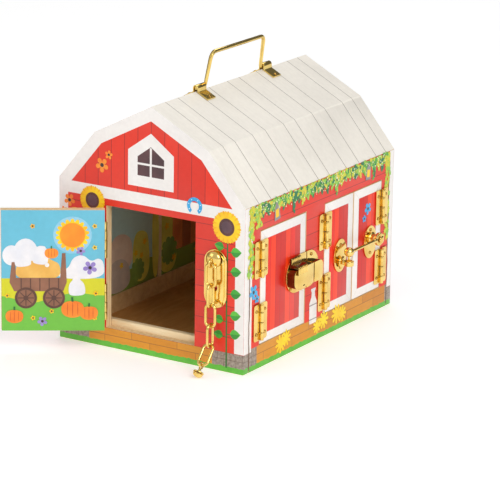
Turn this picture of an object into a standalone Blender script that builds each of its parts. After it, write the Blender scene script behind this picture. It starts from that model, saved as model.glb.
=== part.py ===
"""Wooden toy barn with opening doors, in metres, +Z up.

The barn stands on z = 0 with the middle of its footprint at the origin. Its front gable faces -Y, and
the wall with the single door and the stable doors faces +X. Each door hangs on two butt hinges.
The front door is open, a short safety chain hangs beside it, and the carrying handle leans to +X.
"""

import math

import bmesh
import bpy
from mathutils import Vector

# House panels
DOORWAY_W = 0.091
DOORWAY_SIDE_W = 0.0495
DOORWAY_SILL = 0.0175
DOORWAY_H = 0.1095
FRONT_POST_W = 0.0245
SIDE_OPENING_W = 0.075
MIDDLE_POST_W = 0.031
STABLE_OPENING_W = 0.100
REAR_POST_W = 0.0215
LEFT_FRONT_POST_W = 0.059
LEFT_REAR_POST_W = 0.025
SIDE_SILL = 0.0205
SIDE_OPENING_H = 0.101
SIDE_HEAD_H = 0.024
KNEE_RUN = 0.037
KNEE_RISE = 0.0445
RIDGE_RISE = 0.030
WALL_T = 0.008
ROOF_T = 0.008
FLOOR_T = 0.005
THRESHOLD_T = 0.006
THRESHOLD_RISE = 0.0055
THRESHOLD_LAP = 0.010
GAP = 0.0003
OVERRUN = 0.004

HOUSE_W = DOORWAY_W + 2 * DOORWAY_SIDE_W
HOUSE_L = FRONT_POST_W + SIDE_OPENING_W + MIDDLE_POST_W + STABLE_OPENING_W + REAR_POST_W
EAVE_Z = SIDE_SILL + SIDE_OPENING_H + SIDE_HEAD_H
KNEE_X = HOUSE_W / 2 - KNEE_RUN
RIDGE_Z = EAVE_Z + KNEE_RISE + RIDGE_RISE
FRONT_Y = -HOUSE_L / 2

# Doors
HINGE_GAP = 0.0008
DOOR_END_GAP = 0.0008
RUNNING_CLEARANCE = 0.0004
DOOR_EDGE_BEVEL = 0.0006
FRONT_DOOR_OPEN = math.radians(145)

# Butt hinges
HINGE_H = 0.0325
HINGE_LEAF_W = 0.0104
HINGE_LEAF_T = 0.0008
HINGE_CORNER = 0.0022
KNUCKLE_R = 0.0018
KNUCKLE_OFF = 0.0005
HINGE_PIN_R = 0.0008
HINGE_BORE_R = 0.001
HINGE_FROM_SILL = 0.021
HINGE_FROM_HEAD = 0.0245
FRONT_HINGE_FROM_SILL = 0.024
FRONT_HINGE_FROM_HEAD = 0.030
knuckle_shares = (0.22, 0.28, 0.28, 0.22)
PIN_OUT = KNUCKLE_OFF + KNUCKLE_R

# Rim latch on the single door
PLATE_T = 0.001
LATCH_PLATE_H = 0.033
LATCH_PLATE_L = 0.0327
LATCH_BOX_H = 0.018
LATCH_BOX_L = 0.0328
LATCH_BOX_OUT = 0.009
LATCH_BOX_DROP = 0.0012
LATCH_CORNER = 0.005
LATCH_BOLT_H = 0.008
LATCH_BOLT_T = 0.004
LATCH_BOLT_BACK = 0.0008
LATCH_TRAVEL = 0.006
LATCH_END_WALL = 0.0026
KEEPER_CLEARANCE = 0.0006
LATCH_NECK_L = 0.004
LATCH_NECK_T = 0.003
LATCH_THUMB_L = 0.016
LATCH_THUMB_FROM_END = 0.0125
LATCH_THUMB_T = 0.0015
LATCH_THUMB_LIP = 0.0055
LATCH_THUMB_RISE = 0.0085
LATCH_THUMB_TOP = 0.0025
KEEPER_BOX_L = 0.0142
KEEPER_MARGIN = 0.0012
latch_height_share = 0.487

# Hook latch on the stable doors
OVAL_PLATE_H = 0.030
OVAL_PLATE_W = 0.020
HOOK_OUT = 0.010
HOOK_R = 0.00125
HOOK_RISE = 0.004
HOOK_RING_R = 0.006
HOOK_RING_T = 0.0034
HOOK_POST_R = 0.0022
HOOK_SHOULDER_R = 0.0038
HOOK_HEAD_R = 0.0035
HOOK_HEAD_T = 0.001
HOOK_BALL_R = 0.0045
HOOK_BALL_RISE = 0.0005
HOOK_EYE_R = 0.0045
HOOK_EYE_BORE_R = 0.003
HOOK_EYE_H = 0.0045
HOOK_EYE_STEM_R = 0.0017
HOOK_TIP_DROP = 0.0072
hook_height_share = 0.475
hook_pivot_share = 0.411
hook_eye_share = 0.538

# Chain guard beside the doorway
GUARD_H = 0.0514
GUARD_W = 0.0225
GUARD_T = 0.0025
GUARD_HOLE_R = 0.003
GUARD_HOLE_DROP = 0.0075
GUARD_FROM_EDGE = 0.0282
GUARD_EYE_RISE = 0.0154
CHAIN_OUT = 0.0085
LINK_L = 0.022
LINK_W = 0.0105
LINK_R = 0.001
LINK_PLAY = 0.0004
EYE_RING_R = 0.0032
EYE_NECK_R = 0.00125
LAST_LINK_TILT = math.radians(40)
KNOB_TILT = math.radians(2)
KNOB_RING_R = 0.0027
KNOB_WIRE_R = 0.0009
KNOB_NECK_R = 0.0012
KNOB_REACH = 0.007
KNOB_FLANGE_R = 0.004
KNOB_FLANGE_T = 0.0015
KNOB_OFF_FLOOR = 0.0013
TRACK_L = 0.052
TRACK_H = 0.016
TRACK_OUT = 0.0043
TRACK_WALL = 0.0025
TRACK_SKIN_T = 0.0012
TRACK_SLOT_H = 0.0046
TRACK_SLOT_L = 0.034
TRACK_HOLE_R = 0.0048
TRACK_FROM_EDGE = 0.0045

# Carrying handle on the ridge
HANDLE_R = 0.0016
HANDLE_H = 0.0296
HANDLE_BASE_W = 0.090
HANDLE_TOP_W = 0.086
HANDLE_CORNER = 0.006
HANDLE_ELBOW = 0.0018
HANDLE_END_L = 0.012
HANDLE_OFF_RIDGE = 0.003
HANDLE_SHIFT = 0.0025
HANDLE_LEAN = math.radians(9.6)
BRACKET_W = 0.013
BRACKET_STRAP_L = 0.014
BRACKET_T = 0.001
BRACKET_FROM_LEG = 0.0004

# Barrel bolt on the left doors
BOLT_PLATE_L = 0.0225
BOLT_PLATE_H = 0.014
BOLT_KEEPER_L = 0.010
BOLT_LOOP_L = 0.004
BOLT_LOOP_H = 0.008
BOLT_LOOP_OUT = 0.0087
BOLT_OUT = 0.005
BOLT_R = 0.002
BOLT_BORE_R = 0.0024
BOLT_FROM_EDGE = 0.001
BOLT_TIP_BACK = 0.0013
BOLT_BODY_L = 0.0257
BOLT_KNOB_R = 0.0015
BOLT_KNOB_OUT = 0.0125

ROUND_SIDES = 12
SMALL_SIDES = 10
BORE_SIDES = 8
CORNER_STEPS = 5
LINK_BEND_STEPS = 6

AXES = {"X": Vector((1, 0, 0)), "Y": Vector((0, 1, 0)), "Z": Vector((0, 0, 1))}


def clear_scene():
    for thing in list(bpy.data.objects):
        bpy.data.objects.remove(thing)


def finish(name, colour, roughness, metallic):
    """A Principled material."""
    made = bpy.data.materials.new(name)
    made.use_nodes = True
    shader = made.node_tree.nodes["Principled BSDF"]
    shader.inputs["Base Color"].default_value = (*colour, 1.0)
    shader.inputs["Roughness"].default_value = roughness
    shader.inputs["Metallic"].default_value = metallic
    made.diffuse_color = (*colour, 1.0)
    return made


def prism(outline, axis, low, high):
    """Draw a closed outline out from low to high along an axis.

    The outline's points are (y, z) along X, (x, z) along Y and (x, y) along Z.
    """
    work = bmesh.new()
    places = {
        "X": lambda first, second: (low, first, second),
        "Y": lambda first, second: (first, low, second),
        "Z": lambda first, second: (first, second, low),
    }
    base = work.faces.new([work.verts.new(places[axis](*point)) for point in outline])
    grown = bmesh.ops.extrude_face_region(work, geom=[base])
    moved = [item for item in grown["geom"] if isinstance(item, bmesh.types.BMVert)]
    bmesh.ops.translate(work, vec=AXES[axis] * (high - low), verts=moved)
    bmesh.ops.recalc_face_normals(work, faces=work.faces)
    mesh = bpy.data.meshes.new("prism")
    work.to_mesh(mesh)
    work.free()
    return mesh


def box(low, high):
    outline = rectangle(low[0], high[0], low[1], high[1])
    return prism(outline, "Z", low[2], high[2])


def rectangle(left, right, bottom, top):
    return [(left, bottom), (right, bottom), (right, top), (left, top)]


def arc(centre, radius, start, end, steps):
    """Points on an arc from one angle to another, in degrees, ends included."""
    points = []
    for step in range(steps + 1):
        angle = math.radians(start + (end - start) * step / steps)
        points.append((centre[0] + radius * math.cos(angle), centre[1] + radius * math.sin(angle)))
    return points


def circle(centre, radius, sides):
    return arc(centre, radius, 0, 360, sides)[:-1]


def rounded_end(flat, tip, middle, height, corner):
    """A plate outline with a square end at flat, and rounded corners at its other end."""
    side = 1 if tip > flat else -1
    radius = min(corner, height / 2, abs(tip - flat))
    centre = tip - side * radius
    top = middle + height / 2 - radius
    bottom = middle - height / 2 + radius
    upper = arc((centre, top), radius, 90, 90 - side * 90, CORNER_STEPS)
    lower = arc((centre, bottom), radius, 90 - side * 90, 90 - side * 180, CORNER_STEPS)
    points = [(flat, middle - height / 2), (flat, middle + height / 2)] + upper + lower
    return without_repeats(points)


def without_repeats(points):
    """Drop each point that lies on the one before it."""
    kept = []
    for point in points:
        if not kept or math.dist(point, kept[-1]) > GAP / 1000:
            kept.append(point)
    if math.dist(kept[0], kept[-1]) < GAP / 1000:
        kept.pop()
    return kept


def pointed_oval(centre, width, height):
    """Two arcs that meet in a point at the top and the bottom."""
    half_w = width / 2
    half_h = height / 2
    radius = (half_w**2 + half_h**2) / (2 * half_w)
    reach = math.degrees(math.asin(half_h / radius))
    right = arc((centre[0] + half_w - radius, centre[1]), radius, -reach, reach, 2 * CORNER_STEPS)
    left = arc((centre[0] - half_w + radius, centre[1]), radius, 180 - reach, 180 + reach, 2 * CORNER_STEPS)
    return without_repeats(right + left)


def wire(points, radius, closed=False, detail=1):
    """A round wire along its points, with filled ends, as a mesh."""
    path = bpy.data.curves.new("wire", "CURVE")
    path.dimensions = "3D"
    path.bevel_depth = radius
    path.bevel_resolution = detail
    path.use_fill_caps = True
    spline = path.splines.new("POLY")
    spline.points.add(len(points) - 1)
    for knot, point in zip(spline.points, points):
        knot.co = (*point, 1.0)
    spline.use_cyclic_u = closed
    holder = bpy.data.objects.new("wire", path)
    bpy.context.scene.collection.objects.link(holder)
    bpy.context.view_layer.update()
    graph = bpy.context.evaluated_depsgraph_get()
    mesh = bpy.data.meshes.new_from_object(holder.evaluated_get(graph))
    bpy.data.objects.remove(holder)
    return mesh


def ball(centre, radius):
    work = bmesh.new()
    bmesh.ops.create_uvsphere(work, u_segments=SMALL_SIDES, v_segments=BORE_SIDES, radius=radius)
    bmesh.ops.translate(work, vec=Vector(centre), verts=work.verts)
    mesh = bpy.data.meshes.new("ball")
    work.to_mesh(mesh)
    work.free()
    return mesh


def combined(base, tools, operation):
    """The base mesh with each tool mesh joined to it (UNION) or cut from it (DIFFERENCE)."""
    holder = bpy.data.objects.new("base", base)
    bpy.context.scene.collection.objects.link(holder)
    helpers = []
    for tool in tools:
        helper = bpy.data.objects.new("tool", tool)
        helper.hide_render = True
        helper.display_type = "WIRE"
        bpy.context.scene.collection.objects.link(helper)
        step = holder.modifiers.new("step", "BOOLEAN")
        step.operation = operation
        step.object = helper
        helpers.append(helper)
    bpy.context.view_layer.update()
    graph = bpy.context.evaluated_depsgraph_get()
    mesh = bpy.data.meshes.new_from_object(holder.evaluated_get(graph))
    for helper in helpers + [holder]:
        bpy.data.objects.remove(helper)
    return mesh


def cut(base, *tools):
    return combined(base, tools, "DIFFERENCE")


def join(base, *tools):
    return combined(base, tools, "UNION")


def place(name, mesh, look, parent=None, location=(0, 0, 0), turn=(0, 0, 0)):
    """Add a named object that shows the mesh, under its parent."""
    made = bpy.data.objects.new(name, mesh)
    if not mesh.materials:
        mesh.materials.append(look)
    mesh.shade_smooth()
    mesh.set_sharp_from_angle(angle=math.radians(35))
    made.location = location
    made.rotation_euler = turn
    made.parent = parent
    bpy.context.scene.collection.objects.link(made)
    return made


def pivot(name, location, turn=(0, 0, 0), parent=None):
    """An empty on a joint's axis."""
    made = bpy.data.objects.new(name, None)
    made.empty_display_size = WALL_T
    made.location = location
    made.rotation_euler = turn
    made.parent = parent
    bpy.context.scene.collection.objects.link(made)
    return made


def out(proud):
    """Local y of something that stands proud of a door's or wall's outer face, in a hinge's frame."""
    return PIN_OUT - proud


def slope_normal(rise, run):
    size = math.hypot(rise, run)
    return rise / size, run / size


LOWER = slope_normal(KNEE_RISE, KNEE_RUN)
UPPER = slope_normal(RIDGE_RISE, KNEE_X)


def lower_x(height, inset):
    """x of the lower roof slope at a height, for the outline moved inward by an inset."""
    return HOUSE_W / 2 - (inset + LOWER[1] * (height - EAVE_Z)) / LOWER[0]


def upper_z(across, inset):
    """Height of the upper roof slope at an x, for the outline moved inward by an inset."""
    return RIDGE_Z - (inset + UPPER[0] * across) / UPPER[1]


def knee(inset):
    """Corner between the two slopes, for the outline moved inward by an inset."""
    lower = LOWER[0] * HOUSE_W / 2 + LOWER[1] * EAVE_Z - inset
    upper = UPPER[1] * RIDGE_Z - inset
    size = LOWER[0] * UPPER[1] - UPPER[0] * LOWER[1]
    across = (lower * UPPER[1] - upper * LOWER[1]) / size
    height = (LOWER[0] * upper - UPPER[0] * lower) / size
    return across, height


def shifted(point, slope, distance):
    """Move a point down a slope by a distance. The slope is given by its outward normal."""
    return point[0] + slope[1] * distance, point[1] - slope[0] * distance


def mirrored(outline):
    return [(-across, height) for across, height in outline]


def single_reach(span):
    """Free edge of a door whose far jamb is a span from its pin: its inner corner clears the jamb."""
    return math.sqrt((span - RUNNING_CLEARANCE) ** 2 - (PIN_OUT + WALL_T) ** 2)


def pair_reach(span):
    """Free edge of each leaf of a pair whose pins are a span apart: each clears the other."""
    free = span - RUNNING_CLEARANCE
    return (free**2 - (PIN_OUT + WALL_T) ** 2) / (2 * free)


def gable_mesh(near):
    """A full-width gable panel under the roof panels, with its outer or inner face at near."""
    inset = ROOF_T + GAP
    shoulder = EAVE_Z - GAP
    right = [(HOUSE_W / 2, 0), (HOUSE_W / 2, shoulder), (lower_x(shoulder, inset), shoulder), knee(inset)]
    outline = right + [(0, upper_z(0, inset))] + mirrored(right)[::-1]
    return prism(outline, "Y", near, near + WALL_T)


def build_front_wall():
    sill = DOORWAY_SILL
    low = (-DOORWAY_W / 2, FRONT_Y - OVERRUN, sill)
    high = (DOORWAY_W / 2, FRONT_Y + WALL_T + OVERRUN, sill + DOORWAY_H)
    place("front_wall", cut(gable_mesh(FRONT_Y), box(low, high)), RED)


def side_wall_mesh(inner, outer, openings):
    """A side wall between the gables, cut by openings that run between pairs of y values."""
    end = HOUSE_L / 2 - WALL_T - GAP
    top = SIDE_SILL + SIDE_OPENING_H
    cutters = []
    for near, far in openings:
        low = (min(inner, outer) - OVERRUN, near, SIDE_SILL)
        high = (max(inner, outer) + OVERRUN, far, top)
        cutters.append(box(low, high))
    panel = box((min(inner, outer), -end, 0), (max(inner, outer), end, EAVE_Z - GAP))
    return cut(panel, *cutters)


def build_shell():
    """Floor, walls, threshold strip and the four roof panels."""
    floor_x = HOUSE_W / 2 - WALL_T - GAP
    floor_y = HOUSE_L / 2 - WALL_T - GAP
    place("floor_panel", box((-floor_x, -floor_y, 0), (floor_x, floor_y, FLOOR_T)), BARE_WOOD)
    build_front_wall()
    place("back_wall", gable_mesh(HOUSE_L / 2 - WALL_T), RED)
    right = side_wall_mesh(HOUSE_W / 2 - WALL_T, HOUSE_W / 2, [SIDE_SPAN, STABLE_SPAN])
    place("right_wall", right, RED)
    place("left_wall", side_wall_mesh(WALL_T - HOUSE_W / 2, -HOUSE_W / 2, [LEFT_SPAN]), RED)
    strip_x = DOORWAY_W / 2 + THRESHOLD_LAP
    strip_y = FRONT_Y + WALL_T + GAP
    low = (-strip_x, strip_y, FLOOR_T + GAP)
    high = (strip_x, strip_y + THRESHOLD_T, DOORWAY_SILL + THRESHOLD_RISE)
    place("threshold_strip", box(low, high), BARE_WOOD)
    build_roof()


def build_roof():
    """Lower panels stand on the side walls, and the panels meet in mitres at the knees and the ridge."""
    half = GAP / 2
    outer = knee(0)
    inner = knee(ROOF_T)
    lower = [
        (HOUSE_W / 2, EAVE_Z),
        shifted(outer, LOWER, half),
        shifted(inner, LOWER, half),
        (lower_x(EAVE_Z, ROOF_T), EAVE_Z),
    ]
    upper = [
        shifted(outer, UPPER, -half),
        (half, upper_z(half, 0)),
        (half, upper_z(half, ROOF_T)),
        shifted(inner, UPPER, -half),
    ]
    outlines = {
        "roof_lower_right": lower,
        "roof_upper_right": upper,
        "roof_upper_left": mirrored(upper),
        "roof_lower_left": mirrored(lower),
    }
    for name, outline in outlines.items():
        place(name, prism(outline, "Y", FRONT_Y, -FRONT_Y), WHITE)


def knuckle_spans():
    """Bottom and top of each knuckle, from the hinge's middle."""
    spans = []
    low = -HINGE_H / 2
    for share in knuckle_shares:
        spans.append((low, low + share * HINGE_H))
        low += share * HINGE_H
    return spans


def hinge_leaf_outline(own, side):
    """Leaf plate that reaches the pin only at its own knuckles."""
    notch = KNUCKLE_R + GAP
    spans = knuckle_spans()
    points = []
    for index, (low, high) in enumerate(spans):
        if index in own:
            low = low if index == 0 else low + GAP / 2
            high = high if index == len(spans) - 1 else high - GAP / 2
            points += [(notch, low), (0, low), (0, high), (notch, high)]
    if own[0] != 0:
        points.insert(0, (notch, -HINGE_H / 2))
    else:
        points.pop(0)
    if own[-1] != len(spans) - 1:
        points.append((notch, HINGE_H / 2))
    else:
        points.pop()
    corner = HINGE_H / 2 - HINGE_CORNER
    points += [(HINGE_LEAF_W - HINGE_CORNER, HINGE_H / 2), (HINGE_LEAF_W, corner)]
    points += [(HINGE_LEAF_W, -corner), (HINGE_LEAF_W - HINGE_CORNER, -HINGE_H / 2)]
    return [(side * across, height) for across, height in points]


def hinge_meshes():
    """The wall leaf with its solid knuckles and pin, and the door leaf with its bored knuckles."""
    spans = knuckle_spans()
    meshes = {}
    wall_own = range(0, len(spans), 2)
    door_own = range(1, len(spans), 2)
    for kind, own, side in (("wall", wall_own, -1), ("door", door_own, 1)):
        plate_far = out(GAP)
        plate = prism(hinge_leaf_outline(own, side), "Y", plate_far - HINGE_LEAF_T, plate_far)
        rolls = []
        for index in own:
            low = spans[index][0] if index == 0 else spans[index][0] + GAP / 2
            high = spans[index][1] if index == len(spans) - 1 else spans[index][1] - GAP / 2
            rolls.append(prism(circle((0, 0), KNUCKLE_R, SMALL_SIDES), "Z", low, high))
        meshes[kind] = join(plate, *rolls)
    pin = prism(circle((0, 0), HINGE_PIN_R, BORE_SIDES), "Z", -HINGE_H / 2, HINGE_H / 2)
    bore_end = HINGE_H / 2 + OVERRUN
    bore = prism(circle((0, 0), HINGE_BORE_R, BORE_SIDES), "Z", -bore_end, bore_end)
    return join(meshes["wall"], pin), cut(meshes["door"], bore)


class Door:
    """A door in its hinge's frame: x runs along the leaf from the pin, y inward, z up.

    Its free edge is planed back inward, so that two leaves that open together clear each other.

    side is -1 on a leaf that runs toward -x. The frame stays with the wall, and swing turns with the door.
    """

    def __init__(self, name, location, turn, side, reach, bottom, top, hinge_heights, opened=0.0):
        self.name = name
        self.side = side
        self.reach = reach
        self.frame = pivot(name + "_frame", location, (0, 0, turn))
        self.swing = pivot(name + "_swing", (0, 0, 0), (0, 0, opened), self.frame)
        start = side * HINGE_GAP / 2
        inner = out(0) + WALL_T
        plan = [(start, out(0)), (side * reach, out(0))]
        plan += [(side * (reach - DOOR_EDGE_BEVEL), inner), (start, inner)]
        leaf = prism(plan, "Z", bottom + DOOR_END_GAP, top - DOOR_END_GAP)
        place(name, leaf, RED, self.swing)
        turned = (0, 0, 0) if side > 0 else (0, math.pi, 0)
        for label, height in zip(("lower", "upper"), hinge_heights):
            base = name + "_" + label + "_hinge"
            place(base + "_wall_leaf", HINGE_WALL_LEAF, BRASS, self.frame, (0, 0, height), turned)
            place(base + "_door_leaf", HINGE_DOOR_LEAF, BRASS, self.swing, (0, 0, height), turned)

    def along(self, start, end):
        """Low and high x of what lies between two distances from the pin."""
        return sorted((self.side * start, self.side * end))


def build_doors():
    """The six doors, closed except for the front one."""
    side_top = SIDE_SILL + SIDE_OPENING_H
    heights = (SIDE_SILL + HINGE_FROM_SILL, side_top - HINGE_FROM_HEAD)
    doorway_top = DOORWAY_SILL + DOORWAY_H
    front_heights = (DOORWAY_SILL + FRONT_HINGE_FROM_SILL, doorway_top - FRONT_HINGE_FROM_HEAD)
    pin = HINGE_GAP / 2
    face = HOUSE_W / 2 + PIN_OUT
    quarter = math.pi / 2
    made = {}
    made["front"] = Door(
        "front_door",
        (pin - DOORWAY_W / 2, FRONT_Y - PIN_OUT, 0),
        0,
        1,
        single_reach(DOORWAY_W - pin),
        DOORWAY_SILL,
        doorway_top,
        front_heights,
        -FRONT_DOOR_OPEN,
    )
    layout = {
        "side": ("side_door", face, SIDE_SPAN[0] + pin, quarter, 1, single_reach(SIDE_OPENING_W - pin)),
        "stable_front": ("stable_door_front", face, STABLE_SPAN[0] + pin, quarter, 1, STABLE_REACH),
        "stable_rear": ("stable_door_rear", face, STABLE_SPAN[1] - pin, quarter, -1, STABLE_REACH),
        "left_front": ("left_door_front", -face, LEFT_SPAN[0] + pin, -quarter, -1, LEFT_REACH),
        "left_rear": ("left_door_rear", -face, LEFT_SPAN[1] - pin, -quarter, 1, LEFT_REACH),
    }
    for key, (name, across, along, turn, side, reach) in layout.items():
        made[key] = Door(name, (across, along, 0), turn, side, reach, SIDE_SILL, side_top, heights)
    return made


def build_rim_latch(door):
    """Case on the door, keeper on the post, and a bolt with a thumb slide that runs between them."""
    edge = door.reach
    middle = SIDE_SILL + latch_height_share * SIDE_OPENING_H
    box_mid = middle - LATCH_BOX_DROP
    bolt_out = (PLATE_T + GAP + LATCH_BOX_OUT) / 2
    plate_y = (out(GAP + PLATE_T), out(GAP))
    plate = rounded_end(edge, edge - LATCH_PLATE_L, middle, LATCH_PLATE_H, LATCH_PLATE_H / 2)
    body = rounded_end(edge, edge - LATCH_BOX_L, box_mid, LATCH_BOX_H, LATCH_CORNER)
    channel_h = LATCH_BOLT_H / 2 + GAP
    channel_t = LATCH_BOLT_T / 2 + GAP
    bolt_back = edge - LATCH_BOX_L + LATCH_END_WALL + GAP
    channel = box(
        (bolt_back - GAP, out(bolt_out + channel_t), box_mid - channel_h),
        (edge + OVERRUN, out(bolt_out - channel_t), box_mid + channel_h),
    )
    thumb_low = edge - LATCH_THUMB_FROM_END - LATCH_THUMB_L
    neck_low = thumb_low + (LATCH_THUMB_L - LATCH_NECK_L) / 2
    neck_high = neck_low + LATCH_NECK_L
    box_top = box_mid + LATCH_BOX_H / 2
    slot = box(
        (neck_low - GAP, out(bolt_out + LATCH_NECK_T / 2 + GAP), box_mid),
        (neck_high + LATCH_TRAVEL + GAP, out(bolt_out - LATCH_NECK_T / 2 - GAP), box_top + OVERRUN),
    )
    shell = join(prism(plate, "Y", *plate_y), prism(body, "Y", out(LATCH_BOX_OUT), plate_y[0] + PLATE_T / 2))
    place("latch_case", cut(shell, channel, slot), BRASS, door.swing)

    slide = pivot("latch_bolt_slide", (edge, out(bolt_out), box_mid), parent=door.swing)
    tip = -LATCH_BOLT_BACK
    bolt = box(
        (bolt_back - edge, -LATCH_BOLT_T / 2, -LATCH_BOLT_H / 2),
        (tip, LATCH_BOLT_T / 2, LATCH_BOLT_H / 2),
    )
    rise = LATCH_BOX_H / 2 + GAP
    neck = box(
        (neck_low - edge, -LATCH_NECK_T / 2, 0),
        (neck_high - edge, LATCH_NECK_T / 2, rise + LATCH_THUMB_TOP / 2),
    )
    front = out(LATCH_BOX_OUT + GAP) - out(bolt_out)
    back = out(2 * GAP + PLATE_T) - out(bolt_out)
    thumb = [
        (front, rise - LATCH_THUMB_LIP),
        (front, rise),
        (back, rise),
        (back, rise + LATCH_THUMB_RISE),
        (back - LATCH_THUMB_T, rise + LATCH_THUMB_RISE),
        (front - LATCH_THUMB_T / 2, rise + LATCH_THUMB_TOP),
        (front - LATCH_THUMB_T, rise),
        (front - LATCH_THUMB_T, rise - LATCH_THUMB_LIP),
    ]
    grip = prism(thumb, "X", thumb_low - edge, thumb_low - edge + LATCH_THUMB_L)
    place("latch_bolt", join(bolt, neck, grip), BRASS, slide)

    jamb = SIDE_OPENING_W - HINGE_GAP / 2 + GAP
    keeper_end = jamb + MIDDLE_POST_W - HINGE_LEAF_W - KEEPER_MARGIN
    plate = rounded_end(jamb, keeper_end, middle, LATCH_PLATE_H, LATCH_PLATE_H / 2)
    box_end = min(jamb + KEEPER_BOX_L, keeper_end)
    body = rounded_end(jamb, box_end, box_mid, LATCH_BOX_H, LATCH_CORNER)
    pocket_h = LATCH_BOLT_H / 2 + KEEPER_CLEARANCE
    pocket_t = LATCH_BOLT_T / 2 + KEEPER_CLEARANCE
    pocket = box(
        (jamb - OVERRUN, out(bolt_out + pocket_t), box_mid - pocket_h),
        (box_end - LATCH_END_WALL, out(bolt_out - pocket_t), box_mid + pocket_h),
    )
    shell = join(prism(plate, "Y", *plate_y), prism(body, "Y", out(LATCH_BOX_OUT), plate_y[0] + PLATE_T / 2))
    place("latch_keeper", cut(shell, pocket), BRASS, door.frame)


def build_hook_latch(eye_door, hook_door):
    """An eye on the front leaf, and a hook that turns on a post on the rear leaf."""
    middle = SIDE_SILL + hook_height_share * SIDE_OPENING_H
    height = middle + HOOK_RISE
    plate_y = (out(GAP + PLATE_T), out(GAP))
    inside = plate_y[0] + PLATE_T / 2

    across = eye_door.side * hook_eye_share * eye_door.reach
    plate = prism(pointed_oval((across, middle), OVAL_PLATE_W, OVAL_PLATE_H), "Y", *plate_y)
    eye_top = height - HOOK_TIP_DROP - GAP
    eye_mid = eye_top - HOOK_EYE_H / 2
    centre = (across, out(HOOK_OUT))
    sleeve = prism(circle(centre, HOOK_EYE_R, ROUND_SIDES), "Z", eye_top - HOOK_EYE_H, eye_top)
    wall = (HOOK_EYE_R - HOOK_EYE_BORE_R) / 2
    stem_end = out(HOOK_OUT - HOOK_EYE_R + wall)
    stem = prism(circle((across, eye_mid), HOOK_EYE_STEM_R, BORE_SIDES), "Y", stem_end, inside)
    bore = prism(
        circle(centre, HOOK_EYE_BORE_R, ROUND_SIDES),
        "Z",
        eye_top - HOOK_EYE_H - OVERRUN,
        eye_top + OVERRUN,
    )
    place("hook_eye_plate", cut(join(plate, sleeve, stem), bore), BRASS, eye_door.swing)

    across = hook_door.side * hook_pivot_share * hook_door.reach
    plate = prism(pointed_oval((across, middle), OVAL_PLATE_W, OVAL_PLATE_H), "Y", *plate_y)
    ring_back = out(HOOK_OUT - HOOK_RING_T / 2 - GAP)
    head_back = out(HOOK_OUT + HOOK_RING_T / 2 + GAP)
    spot = (across, height)
    shoulder = prism(circle(spot, HOOK_SHOULDER_R, ROUND_SIDES), "Y", ring_back, inside)
    post = prism(circle(spot, HOOK_POST_R, SMALL_SIDES), "Y", head_back - HOOK_HEAD_T / 2, inside)
    head = prism(circle(spot, HOOK_HEAD_R, ROUND_SIDES), "Y", head_back - HOOK_HEAD_T, head_back)
    place("hook_pivot_plate", join(plate, shoulder, post, head), BRASS, hook_door.swing)

    turn = pivot("hook_bar_turn", (across, out(HOOK_OUT), height), parent=hook_door.swing)
    pins_apart = STABLE_OPENING_W - HINGE_GAP
    reach = pins_apart - (hook_pivot_share + hook_eye_share) * STABLE_REACH
    far = hook_door.side * reach
    ring = prism(circle((0, 0), HOOK_RING_R, ROUND_SIDES), "Y", -HOOK_RING_T / 2, HOOK_RING_T / 2)
    near = hook_door.side * (HOOK_RING_R + HOOK_POST_R) / 2
    bar = wire([(near, 0, 0), (far, 0, 0)], HOOK_R, detail=2)
    grip = ball((far, 0, HOOK_BALL_RISE), HOOK_BALL_R)
    tip = prism(circle((far, 0), HOOK_R, BORE_SIDES), "Z", -HOOK_TIP_DROP, 0)
    hole_r = HOOK_POST_R + GAP
    hole_end = HOOK_RING_T / 2 + OVERRUN
    hole = prism(circle((0, 0), hole_r, ROUND_SIDES), "Y", -hole_end, hole_end)
    place("hook_bar", join(cut(ring, hole), bar, grip, tip), BRASS, turn)


def link_mesh(top, upright):
    """A chain link whose top wire's centre is at top. An upright one lies in the plane of X."""
    half_l = LINK_L / 2 - LINK_R
    half_w = LINK_W / 2 - LINK_R
    straight = half_l - half_w
    middle = top - half_l
    upper = arc((0, middle + straight), half_w, 0, 180, LINK_BEND_STEPS)
    lower = arc((0, middle - straight), half_w, 180, 360, LINK_BEND_STEPS)
    if upright:
        points = [(across, 0, height) for across, height in upper + lower]
    else:
        points = [(0, across, height) for across, height in upper + lower]
    return wire(points, LINK_R, closed=True)


def chain_drop():
    """How far the chain hangs from its eye to the lowest point of its knob."""
    pitch = LINK_L - 2 * LINK_R
    hang = 2 * LINK_R + LINK_PLAY
    straight = 4 * (pitch - hang)
    last = pitch * math.cos(LAST_LINK_TILT)
    lean = LAST_LINK_TILT + KNOB_TILT
    knob = (KNOB_REACH + KNOB_FLANGE_T / 2) * math.cos(lean) + KNOB_FLANGE_R * math.sin(lean)
    return straight + last + knob


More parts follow.
